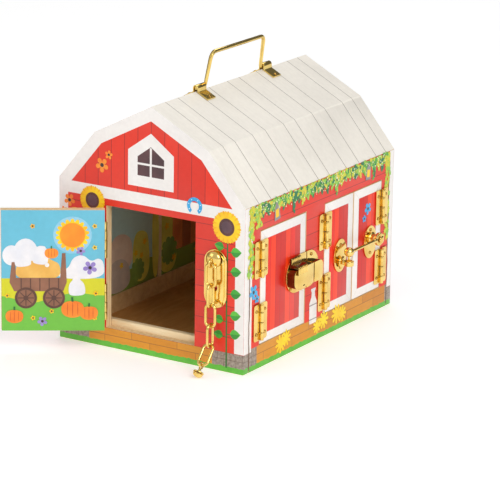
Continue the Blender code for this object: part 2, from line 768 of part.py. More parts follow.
def build_chain_guard(door):
    """Plate and eye beside the doorway, five links, a knob, and the slotted track on the door."""
    across = HOUSE_W / 2 - GUARD_FROM_EDGE
    top = KNOB_OFF_FLOOR + chain_drop()
    ring_z = top - 2 * LINK_R - GAP + EYE_RING_R
    plate_z = ring_z - GUARD_EYE_RISE
    face = FRONT_Y - GAP
    half = GUARD_W / 2
    straight = GUARD_H / 2 - half
    outline = arc((across, plate_z + straight), half, 0, 180, 2 * CORNER_STEPS)
    outline += arc((across, plate_z - straight), half, 180, 360, 2 * CORNER_STEPS)
    plate = prism(without_repeats(outline), "Y", face - GUARD_T, face)
    hole_spot = (across, plate_z - GUARD_HOLE_DROP)
    hole = prism(
        circle(hole_spot, GUARD_HOLE_R, ROUND_SIDES),
        "Y",
        face - GUARD_T - OVERRUN,
        face + OVERRUN,
    )
    chain_y = FRONT_Y - CHAIN_OUT
    ring = [(across, along, height) for along, height in circle((chain_y, ring_z), EYE_RING_R, ROUND_SIDES)]
    neck_end = chain_y + EYE_RING_R
    neck = prism(circle((across, ring_z), EYE_NECK_R, BORE_SIDES), "Y", neck_end, face - GUARD_T / 2)
    plate = join(cut(plate, hole), neck, wire(ring, LINK_R, closed=True))
    place("chain_guard_plate", plate, BRASS)

    pitch = LINK_L - 2 * LINK_R
    hang = 2 * LINK_R + LINK_PLAY
    carrier = pivot("chain_link_1_turn", (across, chain_y, top))
    for number in range(1, 6):
        upright = number % 2 == 1
        name = "chain_link_" + str(number)
        if number > 1:
            drop = pitch if number % 2 == 0 else pitch - 2 * hang
            tilt = -LAST_LINK_TILT if number == 5 else 0
            carrier = pivot(name + "_turn", (0, 0, -drop), (tilt, 0, 0), carrier)
        place(name, link_mesh(0 if upright else hang, upright), BRASS, carrier)

    carrier = pivot("chain_knob_turn", (0, 0, -pitch), (-KNOB_TILT, 0, 0), carrier)
    centre = LINK_R - KNOB_RING_R + KNOB_WIRE_R + LINK_PLAY
    loop = [(0, along, height) for along, height in circle((0, centre), KNOB_RING_R, ROUND_SIDES)]
    flange_low = -KNOB_REACH - KNOB_FLANGE_T / 2
    flange_high = flange_low + KNOB_FLANGE_T
    flange = prism(circle((0, 0), KNOB_FLANGE_R, ROUND_SIDES), "Z", flange_low, flange_high)
    stalk_top = centre - KNOB_RING_R
    stalk = prism(circle((0, 0), KNOB_NECK_R, BORE_SIDES), "Z", flange_high - KNOB_FLANGE_T / 2, stalk_top)
    place("chain_knob", join(flange, stalk, wire(loop, KNOB_WIRE_R, closed=True)), BRASS, carrier)
    build_track(door, plate_z)


def build_track(door, middle):
    """A hollow rail with a keyhole slot, where the chain's knob slides."""
    far = door.reach - TRACK_FROM_EDGE
    near = far - TRACK_L
    rail = box((near, out(TRACK_OUT), middle - TRACK_H / 2), (far, out(GAP), middle + TRACK_H / 2))
    hollow = box(
        (near + TRACK_WALL, out(TRACK_OUT - TRACK_SKIN_T), middle - TRACK_H / 2 + TRACK_WALL),
        (far - TRACK_WALL, out(GAP) + OVERRUN, middle + TRACK_H / 2 - TRACK_WALL),
    )
    slot_far = far - (TRACK_L - TRACK_SLOT_L) / 2 + TRACK_HOLE_R / 2
    slot_near = slot_far - TRACK_SLOT_L
    skin = (out(TRACK_OUT) - OVERRUN, out(TRACK_OUT - TRACK_SKIN_T) + GAP)
    slot = box(
        (slot_near, skin[0], middle - TRACK_SLOT_H / 2),
        (slot_far, skin[1], middle + TRACK_SLOT_H / 2),
    )
    entry = prism(circle((slot_near, middle), TRACK_HOLE_R, ROUND_SIDES), "Y", *skin)
    place("chain_track", cut(rail, hollow, slot, entry), BRASS, door.swing)


def bracket_outline():
    """A strap over the ridge with a hump for the handle's wire, in x and z from the ridge."""
    inner_r = HANDLE_R + GAP
    outer_r = inner_r + BRACKET_T
    ridge = -RIDGE_Z

    def strap(across, proud):
        return across, ridge + upper_z(across, -proud)

    end = BRACKET_STRAP_L * UPPER[1]
    right_outer = [strap(end, GAP + BRACKET_T), strap(outer_r, GAP + BRACKET_T)]
    right_inner = [strap(inner_r, GAP), strap(end, GAP)]
    hump = arc((0, HANDLE_OFF_RIDGE), outer_r, 0, 180, 2 * CORNER_STEPS)
    tunnel = arc((0, HANDLE_OFF_RIDGE), inner_r, 180, 0, 2 * CORNER_STEPS)
    left_outer = mirrored(right_outer)[::-1]
    left_inner = mirrored(right_inner)[::-1]
    return right_outer + hump + left_outer + left_inner + tunnel + right_inner


def build_handle():
    """A wire bail whose ends turn outward under two brackets."""
    swing = pivot("handle_turn", (0, HANDLE_SHIFT, RIDGE_Z + HANDLE_OFF_RIDGE), (0, HANDLE_LEAN, 0))
    foot = HANDLE_BASE_W / 2
    crown = HANDLE_TOP_W / 2
    lean = math.degrees(math.atan2(HANDLE_H, crown - foot))
    upper_centre = (crown - HANDLE_CORNER, HANDLE_H - HANDLE_CORNER)
    lower_centre = (foot + HANDLE_ELBOW, HANDLE_ELBOW)
    end = [(foot + HANDLE_ELBOW + HANDLE_END_L, 0)]
    side = end + arc(lower_centre, HANDLE_ELBOW, 270, lean + 90, CORNER_STEPS)
    side += arc(upper_centre, HANDLE_CORNER, lean - 90, 90, CORNER_STEPS)
    other = [(-across, height) for across, height in side][::-1]
    points = [(0, across, height) for across, height in side + other]
    place("handle_bail", wire(points, HANDLE_R, detail=2), BRASS, swing)
    near = foot + HANDLE_ELBOW + BRACKET_FROM_LEG
    for name, start in (("handle_bracket_front", -near - BRACKET_W), ("handle_bracket_back", near)):
        spot = (0, HANDLE_SHIFT + start, RIDGE_Z)
        place(name, prism(bracket_outline(), "Y", 0, BRACKET_W), BRASS, location=spot)


def build_barrel_bolt(bolt_door, keeper_door):
    """A bolt in two loops on the rear left door, and a keeper loop on the front left door."""
    middle = SIDE_SILL + SIDE_OPENING_H / 2
    edge = bolt_door.reach
    plate_y = (out(GAP + PLATE_T), out(GAP))
    loop_y = (out(BOLT_LOOP_OUT), plate_y[0] + PLATE_T / 2)
    plate_z = (middle - BOLT_PLATE_H / 2, middle + BOLT_PLATE_H / 2)
    loop_z = (middle - BOLT_LOOP_H / 2, middle + BOLT_LOOP_H / 2)
    first = edge - BOLT_FROM_EDGE
    second = first - BOLT_PLATE_L + BOLT_LOOP_L + BOLT_LOOP_L
    plate = box((first - BOLT_PLATE_L, plate_y[0], plate_z[0]), (first, plate_y[1], plate_z[1]))
    loops = []
    for high in (first, second):
        loops.append(box((high - BOLT_LOOP_L, loop_y[0], loop_z[0]), (high, loop_y[1], loop_z[1])))
    axis = (out(BOLT_OUT), middle)
    bore = prism(
        circle(axis, BOLT_BORE_R, ROUND_SIDES),
        "X",
        first - BOLT_PLATE_L - OVERRUN,
        first + OVERRUN,
    )
    place("bolt_barrel", cut(join(plate, *loops), bore), BRASS, bolt_door.swing)

    slide = pivot("bolt_rod_slide", (edge, out(BOLT_OUT), middle), parent=bolt_door.swing)
    tip = -BOLT_TIP_BACK
    rod = prism(circle((0, 0), BOLT_R, SMALL_SIDES), "X", tip - BOLT_BODY_L, tip)
    knob_x = second - edge + GAP + BOLT_KNOB_R
    knob = prism(circle((knob_x, 0), BOLT_KNOB_R, BORE_SIDES), "Y", BOLT_OUT - BOLT_KNOB_OUT, 0)
    place("bolt_rod", join(rod, knob), BRASS, slide)

    edge = keeper_door.side * (keeper_door.reach - BOLT_FROM_EDGE)
    low, high = sorted((edge, edge - keeper_door.side * BOLT_KEEPER_L))
    plate = box((low, plate_y[0], plate_z[0]), (high, plate_y[1], plate_z[1]))
    low, high = sorted((edge, edge - keeper_door.side * BOLT_LOOP_L))
    loop = box((low, loop_y[0], loop_z[0]), (high, loop_y[1], loop_z[1]))
    bore = prism(circle(axis, BOLT_BORE_R, ROUND_SIDES), "X", low - OVERRUN, high + OVERRUN)
    place("bolt_keeper", cut(join(plate, loop), bore), BRASS, keeper_door.swing)


clear_scene()

RED = finish("red_painted_wood", (0.78, 0.06, 0.04), 0.42, 0.0)
WHITE = finish("white_painted_wood", (0.86, 0.83, 0.79), 0.4, 0.0)
BARE_WOOD = finish("bare_plywood", (0.72, 0.50, 0.30), 0.6, 0.0)
BRASS = finish("polished_brass", (0.83, 0.62, 0.25), 0.22, 1.0)

SIDE_SPAN = (FRONT_Y + FRONT_POST_W, FRONT_Y + FRONT_POST_W + SIDE_OPENING_W)
STABLE_SPAN = (SIDE_SPAN[1] + MIDDLE_POST_W, SIDE_SPAN[1] + MIDDLE_POST_W + STABLE_OPENING_W)
LEFT_SPAN = (FRONT_Y + LEFT_FRONT_POST_W, -FRONT_Y - LEFT_REAR_POST_W)
STABLE_REACH = pair_reach(STABLE_OPENING_W - HINGE_GAP)
LEFT_REACH = pair_reach(LEFT_SPAN[1] - LEFT_SPAN[0] - HINGE_GAP)
HINGE_WALL_LEAF, HINGE_DOOR_LEAF = hinge_meshes()

build_shell()
DOORS = build_doors()
build_rim_latch(DOORS["side"])
build_hook_latch(DOORS["stable_front"], DOORS["stable_rear"])
build_chain_guard(DOORS["front"])
build_handle()
build_barrel_bolt(DOORS["left_rear"], DOORS["left_front"])
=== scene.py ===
# %% [markdown]
# # Toy barn with opening doors
# The barn is a wooden box with a gambrel roof. Its panels are plywood with a printed farm pattern, its
# doors hang on brass butt hinges, and each door is held by a different brass latch. The CAD model gives
# the sizes, and this notebook gives the looks: softened panels, printed patterns, and detailed fittings.

# %% Load the frame
import math
import random
from contextlib import contextmanager

import bpy
from mathutils import Matrix, Vector


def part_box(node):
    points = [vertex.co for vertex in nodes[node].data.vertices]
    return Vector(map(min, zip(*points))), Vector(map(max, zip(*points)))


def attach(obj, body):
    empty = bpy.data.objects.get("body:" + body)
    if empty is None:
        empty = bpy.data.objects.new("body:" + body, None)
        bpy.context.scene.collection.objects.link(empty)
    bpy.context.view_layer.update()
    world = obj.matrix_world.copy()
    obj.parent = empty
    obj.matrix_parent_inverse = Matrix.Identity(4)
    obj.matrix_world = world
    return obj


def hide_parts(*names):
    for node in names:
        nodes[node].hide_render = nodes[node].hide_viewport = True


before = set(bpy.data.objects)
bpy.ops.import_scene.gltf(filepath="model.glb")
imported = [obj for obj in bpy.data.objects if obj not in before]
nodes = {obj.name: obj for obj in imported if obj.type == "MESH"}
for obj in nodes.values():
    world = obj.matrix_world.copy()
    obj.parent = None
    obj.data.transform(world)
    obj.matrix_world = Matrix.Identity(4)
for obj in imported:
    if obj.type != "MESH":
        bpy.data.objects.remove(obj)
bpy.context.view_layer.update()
bpy.ops.object.select_all(action="DESELECT")
MM, QUARTER, HERE = 0.001, math.pi / 2, Matrix.Identity(4)
print("CAD nodes:", len(nodes))

# %% [markdown]
# ## Camera
# The barn was pictured from its front right corner, a little above, with a long lens, so that its
# upright edges stay nearly parallel. Turning a camera by three angles could do it, but here its three
# axes are worked out from the viewing angles and set in one matrix, which leaves nothing to guess.

# %% Camera
AZIMUTH, ELEVATION, ROLL = (math.radians(angle) for angle in (31.831, 16.368, 0.883))
DISTANCE, ASIDE, ALOFT, AIM = 2.6394, 0.0149, -0.0452, Vector((0, 0, 0.1))
FOCAL_MM, SENSOR_MM, SHIFT = 214.55, 36, (0.007, 0.0258)
run = math.cos(ELEVATION)
gaze = Vector((-math.sin(AZIMUTH) * run, math.cos(AZIMUTH) * run, -math.sin(ELEVATION)))
level = Vector((math.cos(AZIMUTH), math.sin(AZIMUTH), 0))
upright = level.cross(gaze)
rightward = math.cos(ROLL) * level + math.sin(ROLL) * upright
upward = math.cos(ROLL) * upright - math.sin(ROLL) * level
eye = AIM - DISTANCE * gaze + ASIDE * rightward + ALOFT * upward
bpy.ops.object.camera_add()
camera = bpy.context.object
camera.name = "barn_camera"
camera.matrix_world = Matrix.Translation(eye) @ Matrix((rightward, upward, -gaze)).transposed().to_4x4()
camera.data.sensor_width, camera.data.lens = SENSOR_MM, FOCAL_MM
camera.data.shift_x, camera.data.shift_y = SHIFT
bpy.context.scene.camera = camera
bpy.context.scene.view_settings.view_transform = "Standard"
print("camera", round(DISTANCE, 2), "m away")

# %% [markdown]
# ## Helpers for node materials
# A finish is a small network of nodes. Adding each node and each link by hand takes many lines, so one
# class adds a node, fills its inlets with numbers or links, and hands back the outlet. The same class
# also fills node groups, which hold the effects that several finishes share.

# %% Node helpers
ORIGIN, PURE_WHITE, BLACK = (0, 0, 0), (1, 1, 1, 1), (0, 0, 0, 1)
COAT_ROUGHNESS, BUMP_STRENGTH, BUMP_DEPTH = 0.2, 0.5, 0.0004


def ink(red, green, blue):
    """A colour given as 0 to 255, in the linear numbers that a shader works with."""
    linear = []
    for part in (red, green, blue):
        linear.append(((part / 255 + 0.055) / 1.055) ** 2.4 if part > 10 else part / 3295)
    return (*linear, 1.0)


class Net:
    """Adds nodes to one material or node group, and links them as it goes."""

    def __init__(self, tree):
        self.tree = tree

    def add(self, kind, feeds, outlet=0, **settings):
        node = self.tree.nodes.new("ShaderNode" + kind)
        for name, value in settings.items():
            setattr(node, name, value)
        for inlet, value in feeds.items():
            if isinstance(value, bpy.types.NodeSocket):
                self.tree.links.new(value, node.inputs[inlet])
            elif value is not None:
                node.inputs[inlet].default_value = value
        return node.outputs[outlet]

    def use(self, group, **feeds):
        """A node group's outlets. An inlet's name is written with _ for a space."""
        named = {name.replace("_", " "): value for name, value in feeds.items()}
        return self.add("Group", named, node_tree=group).node.outputs

    def send(self, ends, **values):
        """Link values to the named ends of a node group."""
        for name, value in values.items():
            self.tree.links.new(value, ends[name])

    def maths(self, operation, first, second=None, third=None):
        return self.add("Math", {0: first, 1: second, 2: third}, operation=operation)

    def plus(self, first, second):
        return self.maths("ADD", first, second)

    def minus(self, first, second):
        return self.maths("SUBTRACT", first, second)

    def times(self, first, second):
        return self.maths("MULTIPLY", first, second)

    def over(self, first, second):
        return self.maths("DIVIDE", first, second)

    def above(self, value, limit):
        return self.maths("GREATER_THAN", value, limit)

    def either(self, switch, first, second):
        """The first value where a switch is 1, and the second where it is 0."""
        return self.plus(self.times(switch, first), self.times(self.minus(1.0, switch), second))

    def mix(self, share, first, second, strength=None):
        share = share if strength is None else self.times(share, strength)
        return self.add("Mix", {0: share, 6: first, 7: second}, 2, data_type="RGBA")

    def noise(self, place, scale, detail=2.0, outlet=0):
        return self.add("TexNoise", {"Vector": place, "Scale": scale, "Detail": detail}, outlet)

    def band(self, value, middle, width):
        """1 where the value is within half a width of a middle, or else 0."""
        return self.maths("COMPARE", value, middle, width / 2)

    def stretch(self, value, low, high, start, end):
        feeds = {"Value": value, "From Min": low, "From Max": high, "To Min": start, "To Max": end}
        return self.add("MapRange", feeds)

    def scaled(self, place, scale):
        return self.add("Mapping", {"Vector": place, "Scale": scale})

    def place(self, location=ORIGIN, turn=0.0, scale=(1, 1, 1)):
        """The object's own coordinates, turned about z, moved and scaled, in that order."""
        own = self.add("TexCoord", {}, 3)
        moved = self.add("Mapping", {"Vector": own, "Location": location, "Rotation": (0, 0, turn)})
        return self.scaled(moved, scale)

    def parts(self, place):
        return self.add("SeparateXYZ", {0: place}).node.outputs


def new_group(title, inlets, outlets):
    """A node group. An inlet's kind follows from its value: a number, a place or a colour."""
    tree = bpy.data.node_groups.new(title, "ShaderNodeTree")
    for name, value in inlets.items():
        kind = {3: "Vector", 4: "Color"}[len(value)] if isinstance(value, tuple) else "Float"
        socket = tree.interface.new_socket(name=name, in_out="INPUT", socket_type="NodeSocket" + kind)
        socket.default_value = value
    for name in outlets:
        kind = "Color" if name == "Color" else "Float"
        tree.interface.new_socket(name=name, in_out="OUTPUT", socket_type="NodeSocket" + kind)
    start, end = tree.nodes.new("NodeGroupInput"), tree.nodes.new("NodeGroupOutput")
    return tree, Net(tree), start.outputs, end.inputs


def new_finish(title, build, metallic=0.0, coat=0.0):
    """A material whose build function gives its colour, its roughness and a bump height, or None."""
    material = bpy.data.materials.new(title)
    material.use_nodes = True
    tree = material.node_tree
    shader = tree.nodes["Principled BSDF"]
    shader.inputs["Metallic"].default_value = metallic
    shader.inputs["Coat Weight"].default_value = coat
    shader.inputs["Coat Roughness"].default_value = COAT_ROUGHNESS
    net = Net(tree)
    colour, roughness, height = build(net)
    tree.links.new(colour, shader.inputs["Base Color"])
    tree.links.new(roughness, shader.inputs["Roughness"])
    if height is not None:
        bump = net.add("Bump", {"Height": height, "Strength": BUMP_STRENGTH, "Distance": BUMP_DEPTH})
        tree.links.new(bump, shader.inputs["Normal"])
    return material


print("helpers ready")

# %% [markdown]
# ## Effects that several finishes share
# Print on wood isn't one even colour: the paper shows a fine mottle and the varnish is a little uneven.
# Bare wood has long pale and dark fibres. Boards are drawn as thin dark lines with a slightly different
# tone on each board. Each effect is a group with its own inlets, so that a change to one reaches them all.

# %% Shared groups
inlets = {"Place": ORIGIN, "Color": PURE_WHITE}
PRINT, net, given, result = new_group("printed_paper", inlets, ("Color", "Roughness"))
mottle, cloud = net.noise(given["Place"], 260, 5), net.noise(given["Place"], 28, 2)
shade = net.plus(net.stretch(mottle, 0.3, 0.7, 0.965, 1.02), net.stretch(cloud, 0.3, 0.7, -0.025, 0.025))
tint = net.add("CombineColor", {0: shade, 1: shade, 2: shade})
toned = net.add("Mix", {0: 1.0, 6: given["Color"], 7: tint}, 2, data_type="RGBA", blend_type="MULTIPLY")
net.send(result, Color=toned, Roughness=net.stretch(cloud, 0.3, 0.7, 0.30, 0.46))


def on_paper(net, place, colour):
    """What a build function gives for a print in this colour, which has no bump."""
    drawn = net.use(PRINT, Place=place, Color=colour)
    return drawn["Color"], drawn["Roughness"], None


inlets = {"Place": ORIGIN, "Light": PURE_WHITE, "Dark": BLACK}
GRAIN, net, given, result = new_group("wood_grain", inlets, ("Color", "Height"))
wander = net.noise(given["Place"], 3, 2, 1)
bent = net.add("VectorMath", {0: given["Place"], 1: wander}, operation="ADD")
fibre, pore = net.noise(bent, 14, 6), net.noise(given["Place"], 90, 3)
share = net.plus(net.stretch(fibre, 0.35, 0.65, 0, 0.8), net.stretch(pore, 0.5, 0.8, 0, 0.35))
net.send(result, Color=net.mix(share, given["Light"], given["Dark"]), Height=share)

BOARD_W = 0.0136
inlets = {"Across": 0.0, "Pitch": BOARD_W, "Line": 0.0006}
BOARDS, net, given, result = new_group("drawn_boards", inlets, ("Line", "Tone"))
count = net.over(given["Across"], given["Pitch"])
spare = net.maths("ABSOLUTE", net.minus(net.maths("FRACT", count), 0.5))
edge = net.minus(0.5, net.over(given["Line"], net.times(given["Pitch"], 2.0)))
tone = net.add("TexWhiteNoise", {"W": net.maths("FLOOR", count)}, noise_dimensions="1D")
net.send(result, Line=net.above(spare, edge), Tone=tone)
print("groups:", [group.name for group in bpy.data.node_groups])

# %% [markdown]
# ## Printed walls
# The outer print of the four walls is one pattern: grass at the foot, two rows of straw-coloured planks,
# stone blocks at the corners, red boards above, and upright red boards in the gable. One group draws it
# from two numbers, the place along the wall and the height, so each wall only says which way it runs.

# %% Wall print
BOARD_FOOT, LEVEL_BOARD, BOARD_SHIFT, GABLE_FOOT = 0.0035, 0.0137, 0.0003, 0.143
PLANK, PLANK_STEP, BLOCK, BLOCK_STEP, LOW_ROW = 0.047, 0.019, 0.0125, 0.006, 0.64
RED, DEEP_RED, LINE_RED = ink(232, 50, 22), ink(214, 38, 16), ink(140, 24, 20)
inlets = {"Along": 0.0, "Height": 0.0, "Place": ORIGIN}
inlets |= {"Stone From": 0.0635, "Planks Top": 0.0172, "Stone Shift": 0.0}
WALLS, net, given, result = new_group("barn_wall_print", inlets, ("Color",))
along, height, place = given["Along"], given["Height"], given["Place"]
lying = net.use(BOARDS, Across=net.minus(height, BOARD_FOOT), Pitch=LEVEL_BOARD)
standing = net.use(BOARDS, Across=net.minus(along, BOARD_SHIFT), Pitch=BOARD_W)
gable = net.above(height, GABLE_FOOT)
line, tone = (net.either(gable, standing[part], lying[part]) for part in ("Line", "Tone"))
colour = net.mix(line, net.mix(tone, RED, DEEP_RED, 0.8), LINE_RED, 0.8)

planked = net.above(given["Planks Top"], height)
row_top = net.times(given["Planks Top"], LOW_ROW)
row = net.above(height, row_top)
planks = net.use(BOARDS, Across=net.plus(along, net.times(row, PLANK_STEP)), Pitch=PLANK, Line=0.0005)
joints = net.maths("MAXIMUM", planks["Line"], net.band(height, row_top, 0.0006))
straw = net.mix(planks["Tone"], ink(228, 156, 30), ink(208, 132, 18))
straw = net.mix(net.noise(net.scaled(place, (14, 14, 90)), 6, 4), straw, ink(190, 114, 20), 0.5)
straw = net.mix(joints, straw, ink(140, 84, 40), 0.7)
colour = net.mix(planked, colour, straw)

speckle = net.stretch(net.noise(place, 420, 4), 0.35, 0.65, 0, 1)
blocks = net.use(BOARDS, Across=net.plus(along, net.times(row, BLOCK_STEP)), Pitch=BLOCK)["Line"]
joints = net.maths("MAXIMUM", blocks, net.band(height, row_top, 0.0007))
stone = net.mix(joints, net.mix(speckle, ink(170, 156, 142), ink(132, 118, 106)), ink(104, 84, 70), 0.6)
far_out = net.above(net.maths("ABSOLUTE", net.plus(along, given["Stone Shift"])), given["Stone From"])
colour = net.mix(net.times(far_out, planked), colour, stone)

blades = net.noise(net.scaled(place, (1, 1, 0.1)), 190, 3)
grass = net.mix(net.noise(place, 150, 3), ink(74, 168, 44), ink(112, 200, 62))
grass_top = net.stretch(blades, 0.3, 0.7, 0.0042, 0.0058)
net.send(result, Color=net.mix(net.above(grass_top, height), colour, grass))


def wall_print(title, axis, stone_from, planks_top, stone_shift=0.0):
    """The finish of one wall's outer face, whose length runs along the x or the y axis."""

    def build(net):
        place = net.place()
        parts = net.parts(place)
        drawn = net.use(WALLS, Along=parts[axis], Height=parts[2], Place=place, Stone_From=stone_from,
                        Planks_Top=planks_top, Stone_Shift=stone_shift)
        return on_paper(net, place, drawn["Color"])

    return new_finish(title, build, coat=0.06)


def corner_print(net):
    """The ends of the gable panels: white above, stone and grass at the foot, as on the walls beside."""
    past_stone, white_from = 0.12, 0.0175
    place = net.place()
    height = net.parts(place)[2]
    drawn = net.use(WALLS, Along=past_stone, Height=height, Place=place)
    return on_paper(net, place, net.mix(net.above(height, white_from), drawn["Color"], ink(240, 235, 230)))


GABLE_LOOK = wall_print("printed_gable", 0, 0.0635, 0.0172)
SIDE_LOOK = wall_print("printed_side_wall", 1, 0.110, 0.0204, -0.005)
CORNER_LOOK = new_finish("printed_corner", corner_print, coat=0.05)
print("wall finishes:", GABLE_LOOK.name, SIDE_LOOK.name)

# %% [markdown]
# ## Printed doors
# Each door shows a white frame round red planks, as on a stable. The frame's strips meet in mitres at the
# corners. The pattern is drawn from the distance to the door's four edges: where the nearest edge is
# closer than the frame's width, it is white, and along the line where two edges are equally near, a thin
# grey line marks the mitre. The same group serves all the doors, each with its own width.

# %% Door print
FRAME_W, WHITE, GREY_LINE = 0.0088, ink(242, 237, 232), ink(176, 166, 158)
inlets = {"Along": 0.0, "Height": 0.0, "Width": 0.074, "Foot": 0.0205, "Head": 0.1215}
inlets |= {"Frame": FRAME_W, "Planks": 7.0}
DOORS_PRINT, net, given, result = new_group("stable_door_print", inlets, ("Color",))
along, height, frame_w = given["Along"], given["Height"], given["Frame"]
sideways = net.maths("MINIMUM", along, net.minus(given["Width"], along))
updown = net.maths("MINIMUM", net.minus(height, given["Foot"]), net.minus(given["Head"], height))
nearest = net.maths("MINIMUM", sideways, updown)
pitch = net.over(net.minus(given["Width"], net.times(frame_w, 2.0)), given["Planks"])
boards = net.use(BOARDS, Across=net.minus(along, frame_w), Pitch=pitch, Line=0.0004)
plank = net.mix(net.above(boards["Tone"], 0.62), ink(237, 32, 6), ink(212, 26, 8))
plank = net.mix(net.above(0.24, boards["Tone"]), plank, ink(247, 58, 10))
plank = net.mix(boards["Line"], plank, LINE_RED, 0.55)
white = net.mix(net.band(net.minus(sideways, updown), 0.0, 0.0004), WHITE, GREY_LINE, 0.4)
colour = net.mix(net.above(frame_w, nearest), plank, white)
net.send(result, Color=net.mix(net.band(nearest, frame_w, 0.00044), colour, ink(150, 60, 50), 0.35))


def leaf_place(net, pin, turn):
    """A door's own coordinates, which start from the line of its pins, and their three parts."""
    shift = Matrix.Rotation(-turn, 3, "Z") @ Vector((-pin[0], -pin[1], 0))
    place = net.place(tuple(shift), -turn)
    return place, net.parts(place)


def door_print(title, pin, turn, side, width, foot, head, planks):
    """The finish of a door's outer face."""

    def build(net):
        place, parts = leaf_place(net, pin, turn)
        drawn = net.use(DOORS_PRINT, Along=net.times(parts[0], float(side)), Height=parts[2], Width=width,
                        Foot=foot, Head=head, Planks=planks, Frame=FRAME_W)
        return on_paper(net, place, drawn["Color"])

    return new_finish(title, build, coat=0.06)


def picture_base(title, pin, turn, foot, hill_height, field, hill, sky):
    """Sky, far hills and grass on a door's inner face, with a bare strip at its foot."""
    field_drop, bare = 0.017, ink(206, 160, 104)

    def build(net):
        place, parts = leaf_place(net, pin, turn)
        roll = net.stretch(net.noise(net.scaled(place, (1, 1, 0)), 24, 0), 0.3, 0.7, -0.005, 0.005)
        colour = net.mix(net.above(parts[2], hill_height + 0.001), hill, sky)
        colour = net.mix(net.above(hill_height - field_drop, net.plus(parts[2], roll)), colour, field)
        return on_paper(net, place, net.mix(net.above(foot, parts[2]), colour, bare))

    return new_finish(title, build, coat=0.05)


print("door patterns ready")

# %% [markdown]
# ## Bare wood, plywood edges, printed colours and the roof
# Inside, the panels are bare. Their cut edges show thin layers that run along the panel, light and dark
# in turn. The roof is printed in warm white with thin grey lines between its planks, which aren't evenly
# wide. Their places are listed and each draws one line. Every flat printed colour drifts between tones.

# %% Wood and paint finishes
LAYER = 0.0027


def bare_wood(title, light, dark, stretch):
    def build(net):
        wood = net.use(GRAIN, Place=net.place(scale=stretch), Light=light, Dark=dark)
        return wood["Color"], net.stretch(wood["Height"], 0, 1, 0.55, 0.72), wood["Height"]

    return new_finish(title, build)


def ply_edge(title, axis, turn=0.0):
    """Plywood's cut edge, whose layers are counted along the x or y axis after a turn about z."""

    def build(net):
        place = net.place(turn=turn)
        wave = net.maths("SINE", net.times(net.parts(place)[axis], 2 * math.pi / LAYER))
        grain = net.noise(net.scaled(place, (40, 40, 8)), 9, 4)
        share = net.plus(net.stretch(wave, -0.4, 0.4, 0, 0.55), net.stretch(grain, 0.35, 0.65, 0, 0.4))
        colour = net.mix(share, ink(248, 222, 176), ink(212, 170, 118))
        return colour, net.stretch(grain, 0.3, 0.7, 0.55, 0.7), share

    return new_finish(title, build)


def plain_print(title, light, dark=None):
    """One printed colour, with the mottle of the paper and a soft drift to a second, darker tone."""
    light = ink(*light)
    second = ink(*dark) if dark else tuple(0.86 * part for part in light[:3]) + (1.0,)

    def build(net):
        place = net.place()
        drift = net.stretch(net.noise(place, 60, 3), 0.35, 0.65, 0, 1)
        return on_paper(net, place, net.mix(drift, light, second))

    return new_finish(title, build, coat=0.05)


ROOF_LINES = (-0.1048, -0.0855, -0.0576, -0.0367, -0.0073, 0.0116, 0.0406, 0.0628, 0.0931, 0.1106)


def roof_print(net):
    place = net.place()
    along, drawn = net.parts(place)[1], 0.0
    for spot in ROOF_LINES:
        drawn = net.maths("MAXIMUM", drawn, net.band(along, spot, 0.0008))
    long_grain = net.stretch(net.noise(net.scaled(place, (6, 80, 6)), 5, 5), 0.35, 0.75, 0, 0.5)
    base = net.mix(long_grain, ink(247, 241, 230), ink(239, 232, 220))
    return on_paper(net, place, net.mix(drawn, base, ink(140, 130, 122), 0.8))


